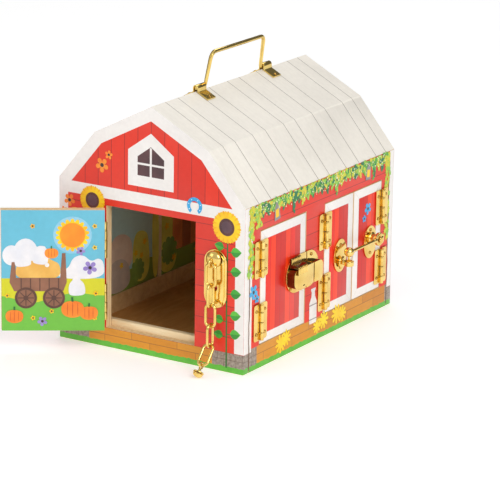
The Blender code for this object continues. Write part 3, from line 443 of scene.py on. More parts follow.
ROOF_LOOK = new_finish("printed_roof", roof_print, coat=0.1)
INSIDE_LOOK = bare_wood("bare_panel", ink(238, 198, 140), ink(220, 176, 118), (2, 9, 9))
FLOOR_WOOD = bare_wood("bare_floor", ink(216, 162, 92), ink(200, 146, 78), (9, 2, 9))
STRIP_WOOD = bare_wood("bare_strip", ink(255, 236, 196), ink(246, 216, 168), (1.5, 14, 14))
EDGE_X, EDGE_Y = ply_edge("ply_edge_of_side_walls", 0), ply_edge("ply_edge_of_gables", 1)
COLOURS = {
    "white": ((242, 237, 232), (238, 232, 227)), "dark_pane": ((92, 56, 58), (70, 42, 46)),
    "brown_line": ((132, 92, 66), (96, 64, 46)), "dark_line": ((66, 44, 40), (48, 32, 30)),
    "yellow": ((255, 214, 14), (250, 186, 4)), "deep_yellow": ((250, 186, 10), (240, 166, 4)),
    "seed_brown": ((104, 62, 52), (70, 38, 40)), "seed_heart": ((112, 78, 84), (84, 56, 66)),
    "orange": ((250, 150, 40), (240, 122, 26)), "deep_orange": ((224, 106, 28), (210, 92, 22)),
    "blue": ((60, 180, 232), (34, 150, 214)), "pale_blue": ((214, 238, 248),),
    "leaf": ((96, 196, 60), (62, 168, 52)), "leaf_shade": ((58, 160, 50), (44, 140, 46)),
    "stem": ((44, 122, 52), (34, 102, 44)), "ivy_blossom": ((248, 246, 214), (232, 230, 180)),
    "ivy_light": ((152, 208, 70),), "ivy_lime": ((206, 214, 44),), "ivy_fresh": ((84, 174, 62),),
    "ivy_deep": ((14, 122, 70),), "ivy_gold": ((226, 206, 40),),
    "hay": ((255, 224, 0), (252, 204, 0)), "straw": ((240, 190, 96), (226, 168, 72)),
    "milk_can": ((240, 236, 232), (222, 216, 212)), "grey": ((160, 154, 152), (130, 126, 126)),
    "brown": ((152, 102, 76), (134, 88, 64)), "dark_brown": ((104, 66, 48), (86, 54, 42)),
    "sun": ((252, 152, 22), (250, 136, 18)), "glow": ((150, 204, 226), (136, 198, 224)),
    "cloud": ((240, 236, 236), (226, 226, 232)), "purple": ((166, 146, 208), (144, 122, 192)),
    "tan": ((250, 224, 202), (234, 206, 184)), "grey_tan": ((220, 202, 186), (202, 184, 170)),
    "hill": ((240, 230, 104), (224, 214, 92)), "bush": ((148, 182, 84), (126, 160, 72)),
    "rust": ((244, 150, 86), (228, 130, 74)), "shed_door": ((190, 108, 66), (170, 92, 56)),
}
prints = {name: plain_print("printed_" + name, *tones) for name, tones in COLOURS.items()}
prints["bare_strip"] = STRIP_WOOD
print("finishes:", len(bpy.data.materials))

# %% [markdown]
# ## Panels with softened edges
# Sawn panels never have knife-sharp edges. Sanding leaves a fine round that catches the light. The CAD
# mesh is copied, its loose triangles are welded and its flat parts cleaned, and a bevel rounds each sharp
# edge by a fraction of a millimetre. Then every face gets the finish of its side: print outside, bare wood
# inside, layers at the cut edges.

# %% Mesh helpers
def only(piece):
    """Make one object the selected and active one."""
    bpy.ops.object.select_all(action="DESELECT")
    piece.select_set(True)
    bpy.context.view_layer.objects.active = piece


@contextmanager
def editing(piece, everything=True):
    """Edit mode on one piece, with everything selected or the selection that its mesh already has."""
    only(piece)
    bpy.ops.object.mode_set(mode="EDIT")
    if everything:
        bpy.ops.mesh.select_all(action="SELECT")
    yield
    bpy.ops.object.mode_set(mode="OBJECT")


def soften(piece, width, segments=2, angle=40):
    """Round the sharp edges, and keep the flat faces flat in the shading."""
    only(piece)
    bevel = piece.modifiers.new("soft_edges", "BEVEL")
    bevel.width, bevel.segments = width, segments
    bevel.limit_method, bevel.angle_limit = "ANGLE", math.radians(angle)
    bevel.use_clamp_overlap = True
    bpy.ops.object.modifier_apply(modifier=bevel.name)
    bpy.ops.object.shade_smooth_by_angle(angle=math.radians(30))
    return piece


def stamp(master, where):
    """A copy of a piece with its own mesh, set in place."""
    made = master.copy()
    made.data = master.data.copy()
    bpy.context.scene.collection.objects.link(made)
    made.data.transform(where)
    if where.determinant() < 0:
        made.data.flip_normals()
    return made


def join(parts):
    """Join pieces into the first one."""
    bpy.ops.object.select_all(action="DESELECT")
    for part in parts:
        part.select_set(True)
    bpy.context.view_layer.objects.active = parts[0]
    if len(parts) > 1:
        bpy.ops.object.join()
    return parts[0]


def dress(piece, *looks, choose=None):
    """Give a piece its looks. With several, a function says which one a face takes."""
    piece.data.materials.clear()
    for look in looks:
        piece.data.materials.append(look)
    for face in piece.data.polygons:
        face.material_index = choose(face) if choose else 0
    return piece


def settle(piece, body, slot, *stands_for):
    """Say which body carries the piece, and hide the CAD nodes it stands for. The slot is not used."""
    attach(piece, body)
    if stands_for:
        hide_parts(*stands_for)
    return piece


def copy_of_node(name, node):
    """A welded copy of a CAD node, whose flat parts are single faces."""
    piece = bpy.data.objects.new(name, nodes[node].data.copy())
    bpy.context.scene.collection.objects.link(piece)
    piece.data.materials.clear()
    with editing(piece):
        bpy.ops.mesh.remove_doubles(threshold=1e-6)
        bpy.ops.mesh.dissolve_limited(angle_limit=math.radians(1))
    return piece


print("mesh helpers ready")

# %% House panels
SANDED, FACING, END_X = 0.0004, 0.7, 0.09


def wall_panel(node, outward, print_look, edge_look, end_look=None):
    """A wall: print on the outer face, bare wood inside, and layers or paint on the cut edges."""
    aim = Vector(outward)

    def choose(face):
        turned = face.normal.dot(aim)
        if abs(turned) > FACING:
            return 0 if turned > 0 else 1
        return 3 if end_look and abs(face.normal.x) > FACING and abs(face.center.x) >= END_X else 2

    piece = soften(copy_of_node(node + "_panel", node), SANDED)
    dress(piece, print_look, INSIDE_LOOK, edge_look, end_look or edge_look, choose=choose)
    return settle(piece, "house", "red_painted_wood", node)


wall_panel("front_wall", (0, -1, 0), GABLE_LOOK, EDGE_Y, CORNER_LOOK)
wall_panel("back_wall", (0, 1, 0), GABLE_LOOK, EDGE_Y, CORNER_LOOK)
wall_panel("right_wall", (1, 0, 0), SIDE_LOOK, EDGE_X)
wall_panel("left_wall", (-1, 0, 0), SIDE_LOOK, EDGE_X)
for node, look, width in (("floor_panel", FLOOR_WOOD, 0.0003), ("threshold_strip", STRIP_WOOD, 0.0006)):
    piece = soften(copy_of_node(node + "_board", node), width)
    settle(dress(piece, look), "house", "bare_plywood", node)

for node in ("roof_lower_right", "roof_upper_right", "roof_upper_left", "roof_lower_left"):
    side = 1 if node.endswith("right") else -1

    def choose_roof(face, side=side):
        if abs(face.normal.y) > 0.5:
            return 1
        return 2 if face.normal.x * side < -0.2 and face.normal.z < 0 else 0

    piece = soften(copy_of_node(node + "_panel", node), 0.0001)
    dress(piece, ROOF_LOOK, prints["white"], INSIDE_LOOK, choose=choose_roof)
    settle(piece, "house", "white_painted_wood", node)

# %% [markdown]
# ## Doors
# The six doors are the same board in four widths. Each hangs from a pin line, and its own frame has x
# along the board, y into the house and z up. Knowing each pin line and turn, the same rule finds the
# outer face of every leaf, also of the front one, which stands open.

# %% Doors
OPENED = -math.radians(145)
LEAVES = {
    "front_door": ((-0.0451, -0.1283), OPENED, 1, 0.0896),
    "side_door": ((0.0973, -0.1011), QUARTER, 1, 0.0735),
    "stable_door_front": ((0.0973, 0.0049), QUARTER, 1, 0.0489),
    "stable_door_rear": ((0.0973, 0.1041), QUARTER, -1, 0.0489),
    "left_door_front": ((-0.0973, -0.0666), -QUARTER, -1, 0.0831),
    "left_door_rear": ((-0.0973, 0.1006), -QUARTER, 1, 0.0831),
}
leaf_frames = {
    name: Matrix.Translation((*pin, 0)) @ Matrix.Rotation(turn, 4, "Z")
    for name, (pin, turn, side, width) in LEAVES.items()
}
FRONT_VIEW = (0.018, 0.0645, ink(112, 190, 62), ink(214, 210, 22), ink(104, 188, 212))
DIM_VIEW = (0.0, 0.06, ink(146, 176, 74), ink(196, 226, 220), ink(196, 226, 220))
for name, (pin, turn, side, width) in LEAVES.items():
    low, high, view = (0.0175, 0.127, FRONT_VIEW) if name == "front_door" else (0.0205, 0.1215, DIM_VIEW)
    planks = 4.0 if name.startswith("stable") else 7.0
    outer = door_print(name + "_print", pin, turn, side, width, low, high, planks)
    inner = picture_base("inner_picture_" + name, pin, turn, *view)

    def choose_leaf(face, back=Matrix.Rotation(-turn, 3, "Z")):
        own = back @ face.normal
        return 0 if own.y < -FACING else 1 if own.y > FACING else 2

    piece = soften(copy_of_node(name + "_leaf", name), SANDED)
    dress(piece, outer, inner, ply_edge(name + "_edge", 1, -turn), choose=choose_leaf)
    settle(piece, name, "red_painted_wood", name)
print("doors:", len(LEAVES))

# %% [markdown]
# ## Flat printed shapes
# The white trims, the flowers, the leaves and the pictures inside the doors are flat print with clean
# outlines. Drawing them in nodes would take hundreds of nodes. Here each is a flat closed curve with the
# thickness of a paint film, turned into a mesh and laid on its panel. The outlines are in millimetres on
# the panel's own plane, u along it and v up, and a matrix lays them in place.

# %% Flat shape helpers
FILM, OUTER_FACE, INNER_FACE = 0.06, 2.3, 10.3


def plane(origin, along):
    """From millimetres on an upright plane to metres. The third axis points off the panel."""
    first, second = Vector(along), Vector((0, 0, 1))
    turn = Matrix((first, second, first.cross(second))).transposed().to_4x4()
    return Matrix.Translation(Vector(origin) * MM) @ turn @ Matrix.Scale(MM, 4)


def flat_mesh(name, outlines, thick=FILM):
    """A thin closed plate from closed outlines. An outline inside another one is a hole."""
    curve = bpy.data.curves.new(name, "CURVE")
    curve.dimensions, curve.fill_mode, curve.extrude = "2D", "BOTH", thick / 2
    for outline in outlines:
        line = curve.splines.new("POLY")
        line.points.add(len(outline) - 1)
        for point, (u, v) in zip(line.points, outline):
            point.co = (u, v, 0, 1)
        line.use_cyclic_u = True
    piece = bpy.data.objects.new(name, curve)
    bpy.context.scene.collection.objects.link(piece)
    only(piece)
    bpy.ops.object.convert(target="MESH")
    piece = bpy.context.object
    with editing(piece):
        bpy.ops.mesh.remove_doubles(threshold=1e-4)
        bpy.ops.mesh.normals_make_consistent(inside=False)
    return piece


class Sheet:
    """One face of a wall or door, with the body that carries what is printed on it."""

    def __init__(self, body, where):
        self.body, self.where = body, where

    def spot(self, lift, u=0, v=0, turn=0.0, size=1.0):
        """Where a shape goes that is lifted off the face, moved, turned and sized on it."""
        own = Matrix.Translation((u, v, lift + FILM)) @ Matrix.Rotation(turn, 4, "Z")
        return self.where @ (own @ Matrix.Diagonal((size, size, 1, 1)))

    def film(self, name, outlines, look, lift=0.0, slot="white_painted_wood"):
        """Flat shapes in one look, laid on the face as one piece."""
        piece = flat_mesh(name, outlines)
        piece.data.transform(self.spot(lift))
        return settle(dress(piece, prints[look]), self.body, slot)

    def scatter(self, name, outline, spots, look, *lifts, slot="red_painted_wood"):
        """One flat shape copied to many spots, each given as u, v, turn and size, as one piece."""
        master = flat_mesh(name + "_master", [outline])
        copies = []
        for number, spot in enumerate(spots):
            copies.append(stamp(master, self.spot(lifts[number % len(lifts)], *spot)))
        bpy.data.objects.remove(master)
        piece = join(copies)
        piece.name = name
        return settle(dress(piece, prints[look]), self.body, slot)


def leaf_sheet(name, inner=False):
    """A door's outer or inner face, with u = 0 on the pin line."""
    local = plane((0, INNER_FACE, 0), (-1, 0, 0)) if inner else plane((0, OUTER_FACE, 0), (1, 0, 0))
    return Sheet(name, leaf_frames[name] @ local)


FRONT = Sheet("house", plane((0, -126, 0), (1, 0, 0)))
RIGHT = Sheet("house", plane((95, 0, 0), (0, 1, 0)))
BACK = Sheet("house", plane((0, 126, 0), (-1, 0, 0)))
LEFT = Sheet("house", plane((-95, 0, 0), (0, -1, 0)))


def rect(low_u, low_v, high_u, high_v):
    return [(low_u, low_v), (high_u, low_v), (high_u, high_v), (low_u, high_v)]


def arc(u, v, radius, start, stop, steps):
    """Points on a circle round u, v, between two angles in degrees."""
    angles = [math.radians(start + (stop - start) * k / steps) for k in range(steps + 1)]
    return [(u + radius * math.cos(a), v + radius * math.sin(a)) for a in angles]


def oval(u, v, wide, tall, count=20):
    angles = [2 * math.pi * number / count for number in range(count)]
    return [(u + wide * math.cos(a), v + tall * math.sin(a)) for a in angles]


def leaf_shape(length, width, count=7):
    """A pointed leaf that starts at 0, 0 and runs along u."""
    upper = []
    for k in range(count + 1):
        upper.append((length * k / count, width / 2 * math.sin(math.pi * (k / count) ** 0.8)))
    return upper + [(u, -v) for u, v in upper[-2:0:-1]]


def petals(count, inner, outer, steps=6):
    """A ring of rounded petals round 0, 0."""
    points = []
    for number in range(count * steps):
        angle = 2 * math.pi * number / (count * steps)
        reach = inner + (outer - inner) * abs(math.sin(angle * count / 2)) ** 0.6
        points.append((reach * math.cos(angle), reach * math.sin(angle)))
    return points


def rounded(outline, passes=3):
    """An outline whose corners are cut again and again, which turns them into curves."""
    for _ in range(passes):
        pairs = zip(outline, outline[1:] + outline[:1])
        outline = [(a + s * (c - a), b + s * (d - b)) for (a, b), (c, d) in pairs for s in (0.25, 0.75)]
    return outline


def both_sides(right):
    """A shape that is the same on both sides of u = 0, from its right side."""
    left = [(-u, v) for u, v in right]
    return left[:1] + right + left[:0:-1]


def moved(outline, u, v):
    return [(u + a, v + b) for a, b in outline]


SMALL_BLOSSOM = petals(5, 1.6, 4.4, 8)


def blossoms(sheet, name, hearts, spots, look, lift, gap=0.1, heart_look="dark_line", radius=1.2, count=12):
    """Small blossoms with hearts. A spot is given as u, v, turn, size and the heart's own size."""
    sheet.scatter(name, SMALL_BLOSSOM, [spot[:4] for spot in spots], look, lift)
    middles = [(u, v, 0, heart) for u, v, turn, size, heart in spots]
    sheet.scatter(hearts, oval(0, 0, radius, radius, count), middles, heart_look, lift + gap)


print("flat shape helpers ready")

# %% [markdown]
# ## Trims of the front
# A white band follows the roof's outline, another crosses the front above the doorway, and white strips
# run down both corners. One ring makes the roof border and the band together, with the red gable field as
# its hole. The loft window is a white frame with dark panes behind a cross of white bars. The back wall
# gets the same trims.

# %% Front trims
HALF_W, EAVE, KNEE_U, KNEE_V, RIDGE, BORDER, TUCK = 95, 145.5, 58.0, 190.0, 220.0, 11.2, 0.1


def roof_outline(inset, base):
    """The gable's outline moved inward, closed along a level base."""
    low_size, top_size = math.hypot(KNEE_V - EAVE, HALF_W - KNEE_U), math.hypot(RIDGE - KNEE_V, KNEE_U)
    low_u, low_v = (KNEE_V - EAVE) / low_size, (HALF_W - KNEE_U) / low_size
    top_u, top_v = (RIDGE - KNEE_V) / top_size, KNEE_U / top_size
    low_reach, top_reach = low_u * HALF_W + low_v * EAVE - inset, top_v * RIDGE - inset
    cross = low_u * top_v - top_u * low_v
    bend_u = (low_reach * top_v - top_reach * low_v) / cross
    bend_v = (low_u * top_reach - top_u * low_reach) / cross
    if inset:
        right = [((low_reach - low_v * base) / low_u, base), (bend_u, bend_v)]
    else:
        right = [(HALF_W - TUCK, base), (HALF_W - TUCK, EAVE), (bend_u - TUCK, bend_v - TUCK)]
    return right + [(0, top_reach / top_v)] + [(-u, v) for u, v in right[::-1]]


loft = [(-23.2, 149), (23.2, 149), (23.2, 180), (0, 196.6), (-23.2, 180)]
pane = [(-13.5, 158.7), (13.5, 158.7), (13.5, 175.2), (0, 184.9), (-13.5, 175.2)]
trims = (
    ("gable_border", [roof_outline(0, 133), roof_outline(BORDER, 143.5)], 0.0),
    ("corner_trim_right", [rect(85.6, 17.7, 94.8, 132.98)], 0.0),
    ("corner_trim_left", [rect(-94.8, 17.7, -85.6, 132.98)], 0.0),
    ("loft_window_frame", [loft, pane], 0.0),
    ("loft_window_bars", [rect(-1, 158.7, 1, 184.0)], 0.04),
    ("loft_window_crossbar", [rect(-13.5, 168.2, 13.5, 170.0)], 0.05),
)
for ending, sheet in (("", FRONT), ("_back", BACK)):
    for name, outlines, lift in trims:
        sheet.film(name + ending, outlines, "white", lift)
    sheet.film("loft_window_pane" + ending, [pane], "dark_pane", -0.03)
print("front trims ready")

# %% [markdown]
# ## Paper over the roof's folds
# The roof's print runs over its folds in one sheet, so the joints between its boards don't show. A thin
# bent strip over each fold does the same. Its cross-section is drawn flat, like the other shapes, and
# given the whole length of the roof.

# %% Roof folds
ROOF_LENGTH, STRIP_REACH, STRIP_PEAK, STRIP_TOP, STRIP_ROOT = 252, 1.6, 0.07, 0.02, 0.04


def fold_strip(name, corner, first, second):
    """A bent strip over a fold. The two directions run along the slopes from the corner."""
    corner = Vector(corner)
    ways = [Vector(first).normalized(), Vector(second).normalized()]
    out = -(ways[0] + ways[1]).normalized()
    points = [corner + STRIP_PEAK * out]
    for way in ways:
        normal = Vector((way.y, -way.x))
        normal = normal if normal.dot(out) > 0 else -normal
        end = corner + STRIP_REACH * way
        ends = [end + STRIP_TOP * normal, end - STRIP_ROOT * normal]
        points += ends if len(points) == 1 else [corner - STRIP_ROOT * out, *ends[::-1]]
    piece = flat_mesh(name, [[tuple(point) for point in points]], ROOF_LENGTH)
    piece.data.shade_flat()
    piece.data.transform(plane(ORIGIN, (1, 0, 0)))
    return settle(dress(piece, ROOF_LOOK), "house", "white_painted_wood")


for side, label in ((1, "right"), (-1, "left")):
    low_slope, top_slope = (side * (HALF_W - KNEE_U), EAVE - KNEE_V), (-side * KNEE_U, RIDGE - KNEE_V)
    fold_strip("roof_fold_" + label, (side * KNEE_U, KNEE_V), low_slope, top_slope)
fold_strip("roof_fold_ridge", (0, RIDGE), (KNEE_U, KNEE_V - RIDGE), (-KNEE_U, KNEE_V - RIDGE))
print("roof folds covered")

# %% [markdown]
# ## Flowers, leaves and a lucky horseshoe
# Bright flowers climb the front beside the doorway. A yellow flower is a ring of petals with a brown disc
# of seeds on it, on a dark green stem with leaves on both sides. Smaller petals in blue or orange make the
# blossoms elsewhere. Every repeated shape is drawn once and copied.

# %% Flowers of the front
right_stem = [(77.2, 3.8), (78.6, 3.8), (78.2, 60), (78.4, 118), (77.2, 118), (76.9, 60)]
FRONT.film("stem_right", [right_stem], "stem", 0.05)
FRONT.film("stem_left", [[(-61, 60), (-59.8, 60), (-59.4, 122), (-60.8, 122)]], "stem", 0.05)
blooms = [(76.8, 127.2, 0, 1.0), (-60, 129.4, 0.2, 0.92), (-78, 112, 0.5, 0.6)]
back_blooms = [(u, v, turn + 0.18, size) for u, v, turn, size in blooms]
FRONT.scatter("back_petals", petals(17, 9.6, 14.2), back_blooms, "deep_yellow", 0.08)
FRONT.scatter("yellow_flowers", petals(17, 9.6, 13.9), blooms, "yellow", 0.14)
FRONT.scatter("flower_seeds", oval(0, 0, 7.6, 7.6, 32), blooms, "seed_brown", 0.22)
FRONT.scatter("flower_seed_rings", petals(20, 4.6, 5.6, 4), blooms, "seed_heart", 0.3)
leaves = [(81.2, height, 0.12, 1.0) for height in (34, 50.5, 69.5, 89, 106)]
leaves += [(74.2, height, math.pi - 0.2, 0.9) for height in (31.5, 45, 109)]
leaves += [(-57, height, 0.3, 0.9) for height in (74, 92)]
leaves += [(-63, height, math.pi - 0.3, 0.9) for height in (82, 100)]
FRONT.scatter("leaf_stalks", rect(-3.6, -0.35, 1, 0.35), leaves, "stem", 0.06)
FRONT.scatter("stem_leaves", leaf_shape(10.6, 8.6), leaves, "leaf", 0.08, 0.12)
lower_half = [(u, min(v, 0.0)) for u, v in leaf_shape(10.2, 7.6)]
FRONT.scatter("leaf_shades", lower_half, leaves, "leaf_shade", 0.16, 0.2)

SHOE_U, SHOE_V, SHOE_OUT, SHOE_NAILS, SHOE_IN = 44.5, 140.5, 7.6, 6, 4.4
horseshoe = arc(0, 0, SHOE_OUT, -55, 235, 29) + arc(0, 0, SHOE_IN, 235, -55, 29)
FRONT.scatter("lucky_horseshoe", horseshoe, [(SHOE_U, SHOE_V, 0, 1.0)], "blue", 0.12)
angles = [math.radians(degrees) for degrees in (-30, 15, 60, 120, 165, 210)]
nails = [(SHOE_U + SHOE_NAILS * math.cos(a), SHOE_V + SHOE_NAILS * math.sin(a)) for a in angles]
FRONT.scatter("horseshoe_nails", oval(0, 0, 0.55, 0.55, 8), nails, "pale_blue", 0.2)
spots = [(-50, 162, 0.3, 1.5, 1.4), (-43, 172, 0.8, 0.9, 0.9)]
spots += [(-84, 126, 0.4, 1.3, 1.2), (-90, 116, 0, 0.8, 0.8)]
blossoms(FRONT, "orange_blossoms", "orange_blossom_hearts", spots, "orange", 0.1, radius=1.3)
print("front flowers ready")

# %% [markdown]
# ## Ivy garland along the eave
# A garland of small leaves in five greens hangs under both eaves and runs down all four corners.
# Scattering leaves at random looks messy, so they follow the eave in four close rows, and pointed bunches
# of one or two greens droop from them. Small, seeded differences in place, size and turn are the same each
# time. The leaves overlap, so each green uses many small lifts, and leaves that meet seldom share a plane.

# %% Garland
GREENS = ("light", "lime", "fresh", "deep", "gold")
GARLAND_V, EAVE_ROWS, ROW_DROP, BUNCHES, BUNCH_STEP, LEAF_STEP, DOWN = 144.7, 4, 2.1, 29, 8.1, 2.3, -QUARTER
PAIRS = (("lime", "gold"), ("deep", "fresh"), ("lime", "light"))
PAIRS += (("deep", "deep"), ("gold", "lime"), ("light", "fresh"))
HALF_EAVE, CLUSTER, PALE_SPOTS = 116.5, 34, 150
LIFT_STEPS, LIFT_STEP, LIFT_GAP = 61, 0.004, 0.0008
chance = random.Random(11)
near = chance.uniform
ivy = {tone: [] for tone in GREENS}
for row in range(EAVE_ROWS):
    u = -HALF_EAVE
    while u < HALF_EAVE:
        tone = GREENS[chance.choice((0, 0, 1, 1, 2, 3, 4))]
        ivy[tone].append((u, GARLAND_V - ROW_DROP * row + near(-0.5, 0.5), near(-math.pi, 0), near(0.6, 0.9)))
        u += near(1.5, 2.4)
for bunch in range(BUNCHES):
    centre = -113.5 + BUNCH_STEP * bunch + near(-1, 1)
    tones, depth = PAIRS[(bunch + chance.choice((0, 0, 1))) % len(PAIRS)], chance.choice((4, 5, 5, 6, 8))
    for step in range(depth):
        half = 4.2 * (1 - (step / depth) ** 1.5)
        count = max(1, round(half / 1.1))
        for k in range(count):
            u = centre + (k - (count - 1) / 2) * LEAF_STEP + near(-0.5, 0.5)
            leaf = (u, 144.0 - LEAF_STEP * step, DOWN + near(-0.7, 0.7), near(0.66, 0.88))
            ivy[tones[(k + step) % 2]].append(leaf)
for low, edge in ((85, -116.6), (66, 114.6)):
    v = 138.0
    while v > low:
        tone = GREENS[chance.choice((0, 0, 1, 1, 1, 4))]
        ivy[tone].append((edge + near(-3.4, 2.6), v, DOWN + near(-0.9, 0.9), near(0.75, 1.05)))
        v -= near(0.8, 1.3)
for _ in range(CLUSTER):
    tone = GREENS[chance.choice((0, 1, 1, 4))]
    ivy[tone].append((near(-117, -97), near(127, 144), near(-math.pi, 0), near(0.65, 0.9)))
pale = [(near(-114, 114), near(133, 145), 0, near(0.6, 1.05)) for _ in range(PALE_SPOTS)]
glue = [(-117.2 + 0.35 * math.sin(v * 0.13) + 0.25 * math.sin(v * 0.41), v) for v in range(2, 145, 3)]
glue += [(u - 1.2, v) for u, v in glue[::-1]]
RIGHT.film("corner_strip_near", [rect(-117.9, 17.6, -114.2, 144.8)], "white", -0.03)
RIGHT.film("corner_glue_lines", [glue, [(-u, v) for u, v in glue]], "brown_line")
ivy_leaf = [(0, 0), (0.5, 1.9), (1.9, 1.5), (2.7, 2.4), (3.5, 1.2)]
ivy_leaf += [(5.4, 0)] + [(u, -v) for u, v in ivy_leaf[:0:-1]]
for label, sheet in (("right", RIGHT), ("left", LEFT)):
    for number, (tone, places) in enumerate(ivy.items()):
        lifts = [0.06 + LIFT_STEP * (7 * step % LIFT_STEPS) + LIFT_GAP * number for step in range(LIFT_STEPS)]
        sheet.scatter("ivy_" + tone + "_" + label, ivy_leaf, places, "ivy_" + tone, *lifts)
    sheet.scatter("ivy_blossoms_" + label, oval(0, 0, 0.75, 0.75, 8), pale, "ivy_blossom", 0.33)
print("ivy leaves:", sum(len(places) for places in ivy.values()))

# %% [markdown]
# ## Small things printed on the right wall
# Tufts of hay at the foot, a milk can, two lanterns under the eave and a few blossoms brighten the wall.
# Two blossoms are on the rear stable door and move with it. Drawing them in nodes would be long, so each is
# a flat shape or two, laid like the rest of the print.

# %% Small pictures on the right wall
hay = [(-66, 12.5, 0.1, 1.2), (-57, 15.5, 0.5, 1.05), (-5, 12.5, 0.2, 0.95), (6, 15.4, 0.4, 1.15)]
hay += [(29, 15, 0.1, 1.25), (38, 13, 0.3, 1.05)]
RIGHT.scatter("hay_tufts", petals(9, 3.0, 7.4, 4), hay, "hay", 0.06, 0.12)
can = both_sides([(5.4, 0), (6.2, 2.5), (6.2, 19), (3.0, 24.5), (2.6, 29), (3.8, 30.2), (3.8, 32)])
RIGHT.scatter("milk_can", can, [(-12.6, 17)], "milk_can", 0.08, slot="white_painted_wood")
RIGHT.scatter("milk_can_hoops", rect(-6.2, -0.5, 6.2, 0.5), [(-12.6, 21), (-12.6, 34)], "grey", 0.14)
lantern = both_sides([(4.4, -7), (4.4, -5.4), (3.4, 3.4), (1.4, 6.2), (1.4, 8)])
hung = [(-76, 132.5, 0.12, 1.05), (79, 134, -0.1, 1.0)]
RIGHT.scatter("lanterns", lantern, hung, "grey", 0.32)
RIGHT.scatter("lantern_panes", rect(-2.4, -4.6, 2.4, 2.2), hung, "yellow", 0.4)
spots = [(-112, 70, 0.3, 1.5, 1.4), (-106.5, 63, 0.9, 0.9, 0.9)]
blossoms(RIGHT, "blue_blossom_near", "blue_blossom_near_hearts", spots, "blue", 0.3)
spots = [(-24, 100, 0.2, 1.3, 1.2), (-30, 92, 0.9, 0.8, 0.8)]
blossoms(leaf_sheet("stable_door_rear"), "blue_blossoms_door", "blue_blossom_hearts_door", spots, "blue", 0.1)
print("right wall pictures ready")

# %% [markdown]
# ## Picture inside the front door
# The open front door shows its inner face: sky, yellow hills and grass, and a farm scene on them. This
# picture is a generic one: a hay wagon with sacks and pumpkins, a low sun, a cloud and small blossoms.
# Each colour is one flat shape or a scattered one, laid in thin layers from back to front.

# %% Front door picture
DOOR_IN = leaf_sheet("front_door", inner=True)
low_cloud = [(-0.9, 65), (-0.9, 80), (-6, 84), (-12, 80), (-19, 87)]
low_cloud += [(-28, 84), (-31, 75), (-38, 72), (-41, 65)]
wagon = [(-82, 62), (-80, 80), (-77, 80), (-76.4, 66), (-38.6, 66)]
wagon += [(-37, 88), (-34, 88), (-33, 62), (-36, 54), (-78, 54)]
straw_load = [(-76, 64), (-77, 76), (-70, 84), (-62, 80), (-54, 86), (-46, 82), (-38, 78), (-38.8, 64)]
for name, outline, look, lift in (
    ("sun_glow", oval(-28, 104, 16.5, 16.5, 40), "glow", 0.02),
    ("sun_rays", moved(petals(18, 11.6, 14.6, 4), -28, 104), "yellow", 0.1),
    ("sun_disc", oval(-28, 104, 10.8, 10.8, 40), "sun", 0.18),
    ("cloud_puff_0", oval(-80, 86, 8, 9), "cloud", 0.05),
    ("cloud_puff_1", oval(-68, 90, 10, 11), "cloud", 0.07),
    ("cloud_puff_2", oval(-56, 86, 9, 8), "cloud", 0.09),
    ("cloud_low", rounded(low_cloud), "cloud", 0.06),
    ("wagon_bed", wagon, "brown", 0.14),
    ("wagon_load", rounded(straw_load), "straw", 0.1),
):
    DOOR_IN.film(name, [outline], look, lift)
slats, wheels = [(-72 + 8 * k, 60) for k in range(5)], [(-68, 48), (-44, 48)]
spokes = [(u, v, math.pi * k / 4) for u, v in wheels for k in range(4)]
DOOR_IN.scatter("wagon_slats", rect(-0.5, -5.5, 0.5, 5.5), slats, "dark_brown", 0.2)
DOOR_IN.scatter("wagon_wheels", oval(0, 0, 9.5, 9.5, 32), wheels, "dark_brown", 0.26)
DOOR_IN.scatter("wagon_wheel_discs", oval(0, 0, 7.4, 7.4, 32), wheels, "brown", 0.34)
DOOR_IN.scatter("wagon_spokes", rect(-7, -0.45, 7, 0.45), spokes, "dark_brown", 0.38, 0.385, 0.39, 0.395)
DOOR_IN.scatter("wagon_hubs", oval(0, 0, 2.2, 2.2, 16), wheels, "dark_brown", 0.44)
sack = both_sides([(6, 0), (7.4, 4), (6.4, 11), (2.6, 14.5), (4, 18)])
sacks = [(-70, 76, 0.1, 1.0), (-56, 78, -0.12, 0.92), (-24, 50, 0.05, 1.0)]
DOOR_IN.scatter("sacks", rounded(sack, 2), sacks, "cloud", 0.22)
pumpkin = rounded([(-8, -6), (0, -8.4), (8, -6), (10.4, 0), (8, 6), (0, 7.6), (-8, 6), (-10.4, 0)], 2)
pumpkins = [(-28, 38, 0, 1.0), (-14, 34.5, 0.05, 0.8), (-78, 31.5, -0.05, 0.78), (-46, 88, 0, 0.6)]
ribs = []
for u, v, turn, size in pumpkins:
    ribs += [(u + 4.4 * k * size, v, 0, size * (1.0 - 0.12 * abs(k))) for k in (-1, 0, 1)]
stalks = [(-28, 44.6, 0.1, 1.0), (-14, 40, -0.1, 0.8), (-78, 37, 0, 0.8), (-46, 92, 0, 0.6)]
DOOR_IN.scatter("pumpkins", pumpkin, pumpkins, "orange", 0.32, 0.34)
DOOR_IN.scatter("pumpkin_ribs", oval(0, 0, 0.45, 6.6, 12), ribs, "deep_orange", 0.4)
DOOR_IN.scatter("pumpkin_stalks", rect(-0.9, 0, 0.9, 4), stalks, "stem", 0.44)
spots = [(-13, 75, 0.2, 1.4, 1.3), (-21, 90, 0.5, 0.9, 0.9), (-54, 27, 0.2, 1.0, 1.0)]
blossoms(DOOR_IN, "purple_blossoms", "purple_hearts", spots, "purple", 0.2, 0.08)
spots = [(-9, 112), (-9, 93), (-62, 112), (-8, 52, 0.55), (-46, 36), (-84, 50), (-62, 30), (-9, 30)]
spots = [(u, v, 0, size[0] if size else 0.5, 1.0) for u, v, *size in spots]
names = ("yellow_blossoms", "yellow_blossom_hearts")
blossoms(DOOR_IN, *names, spots, "yellow", 0.24, 0.06, "seed_brown", 0.8, 10)
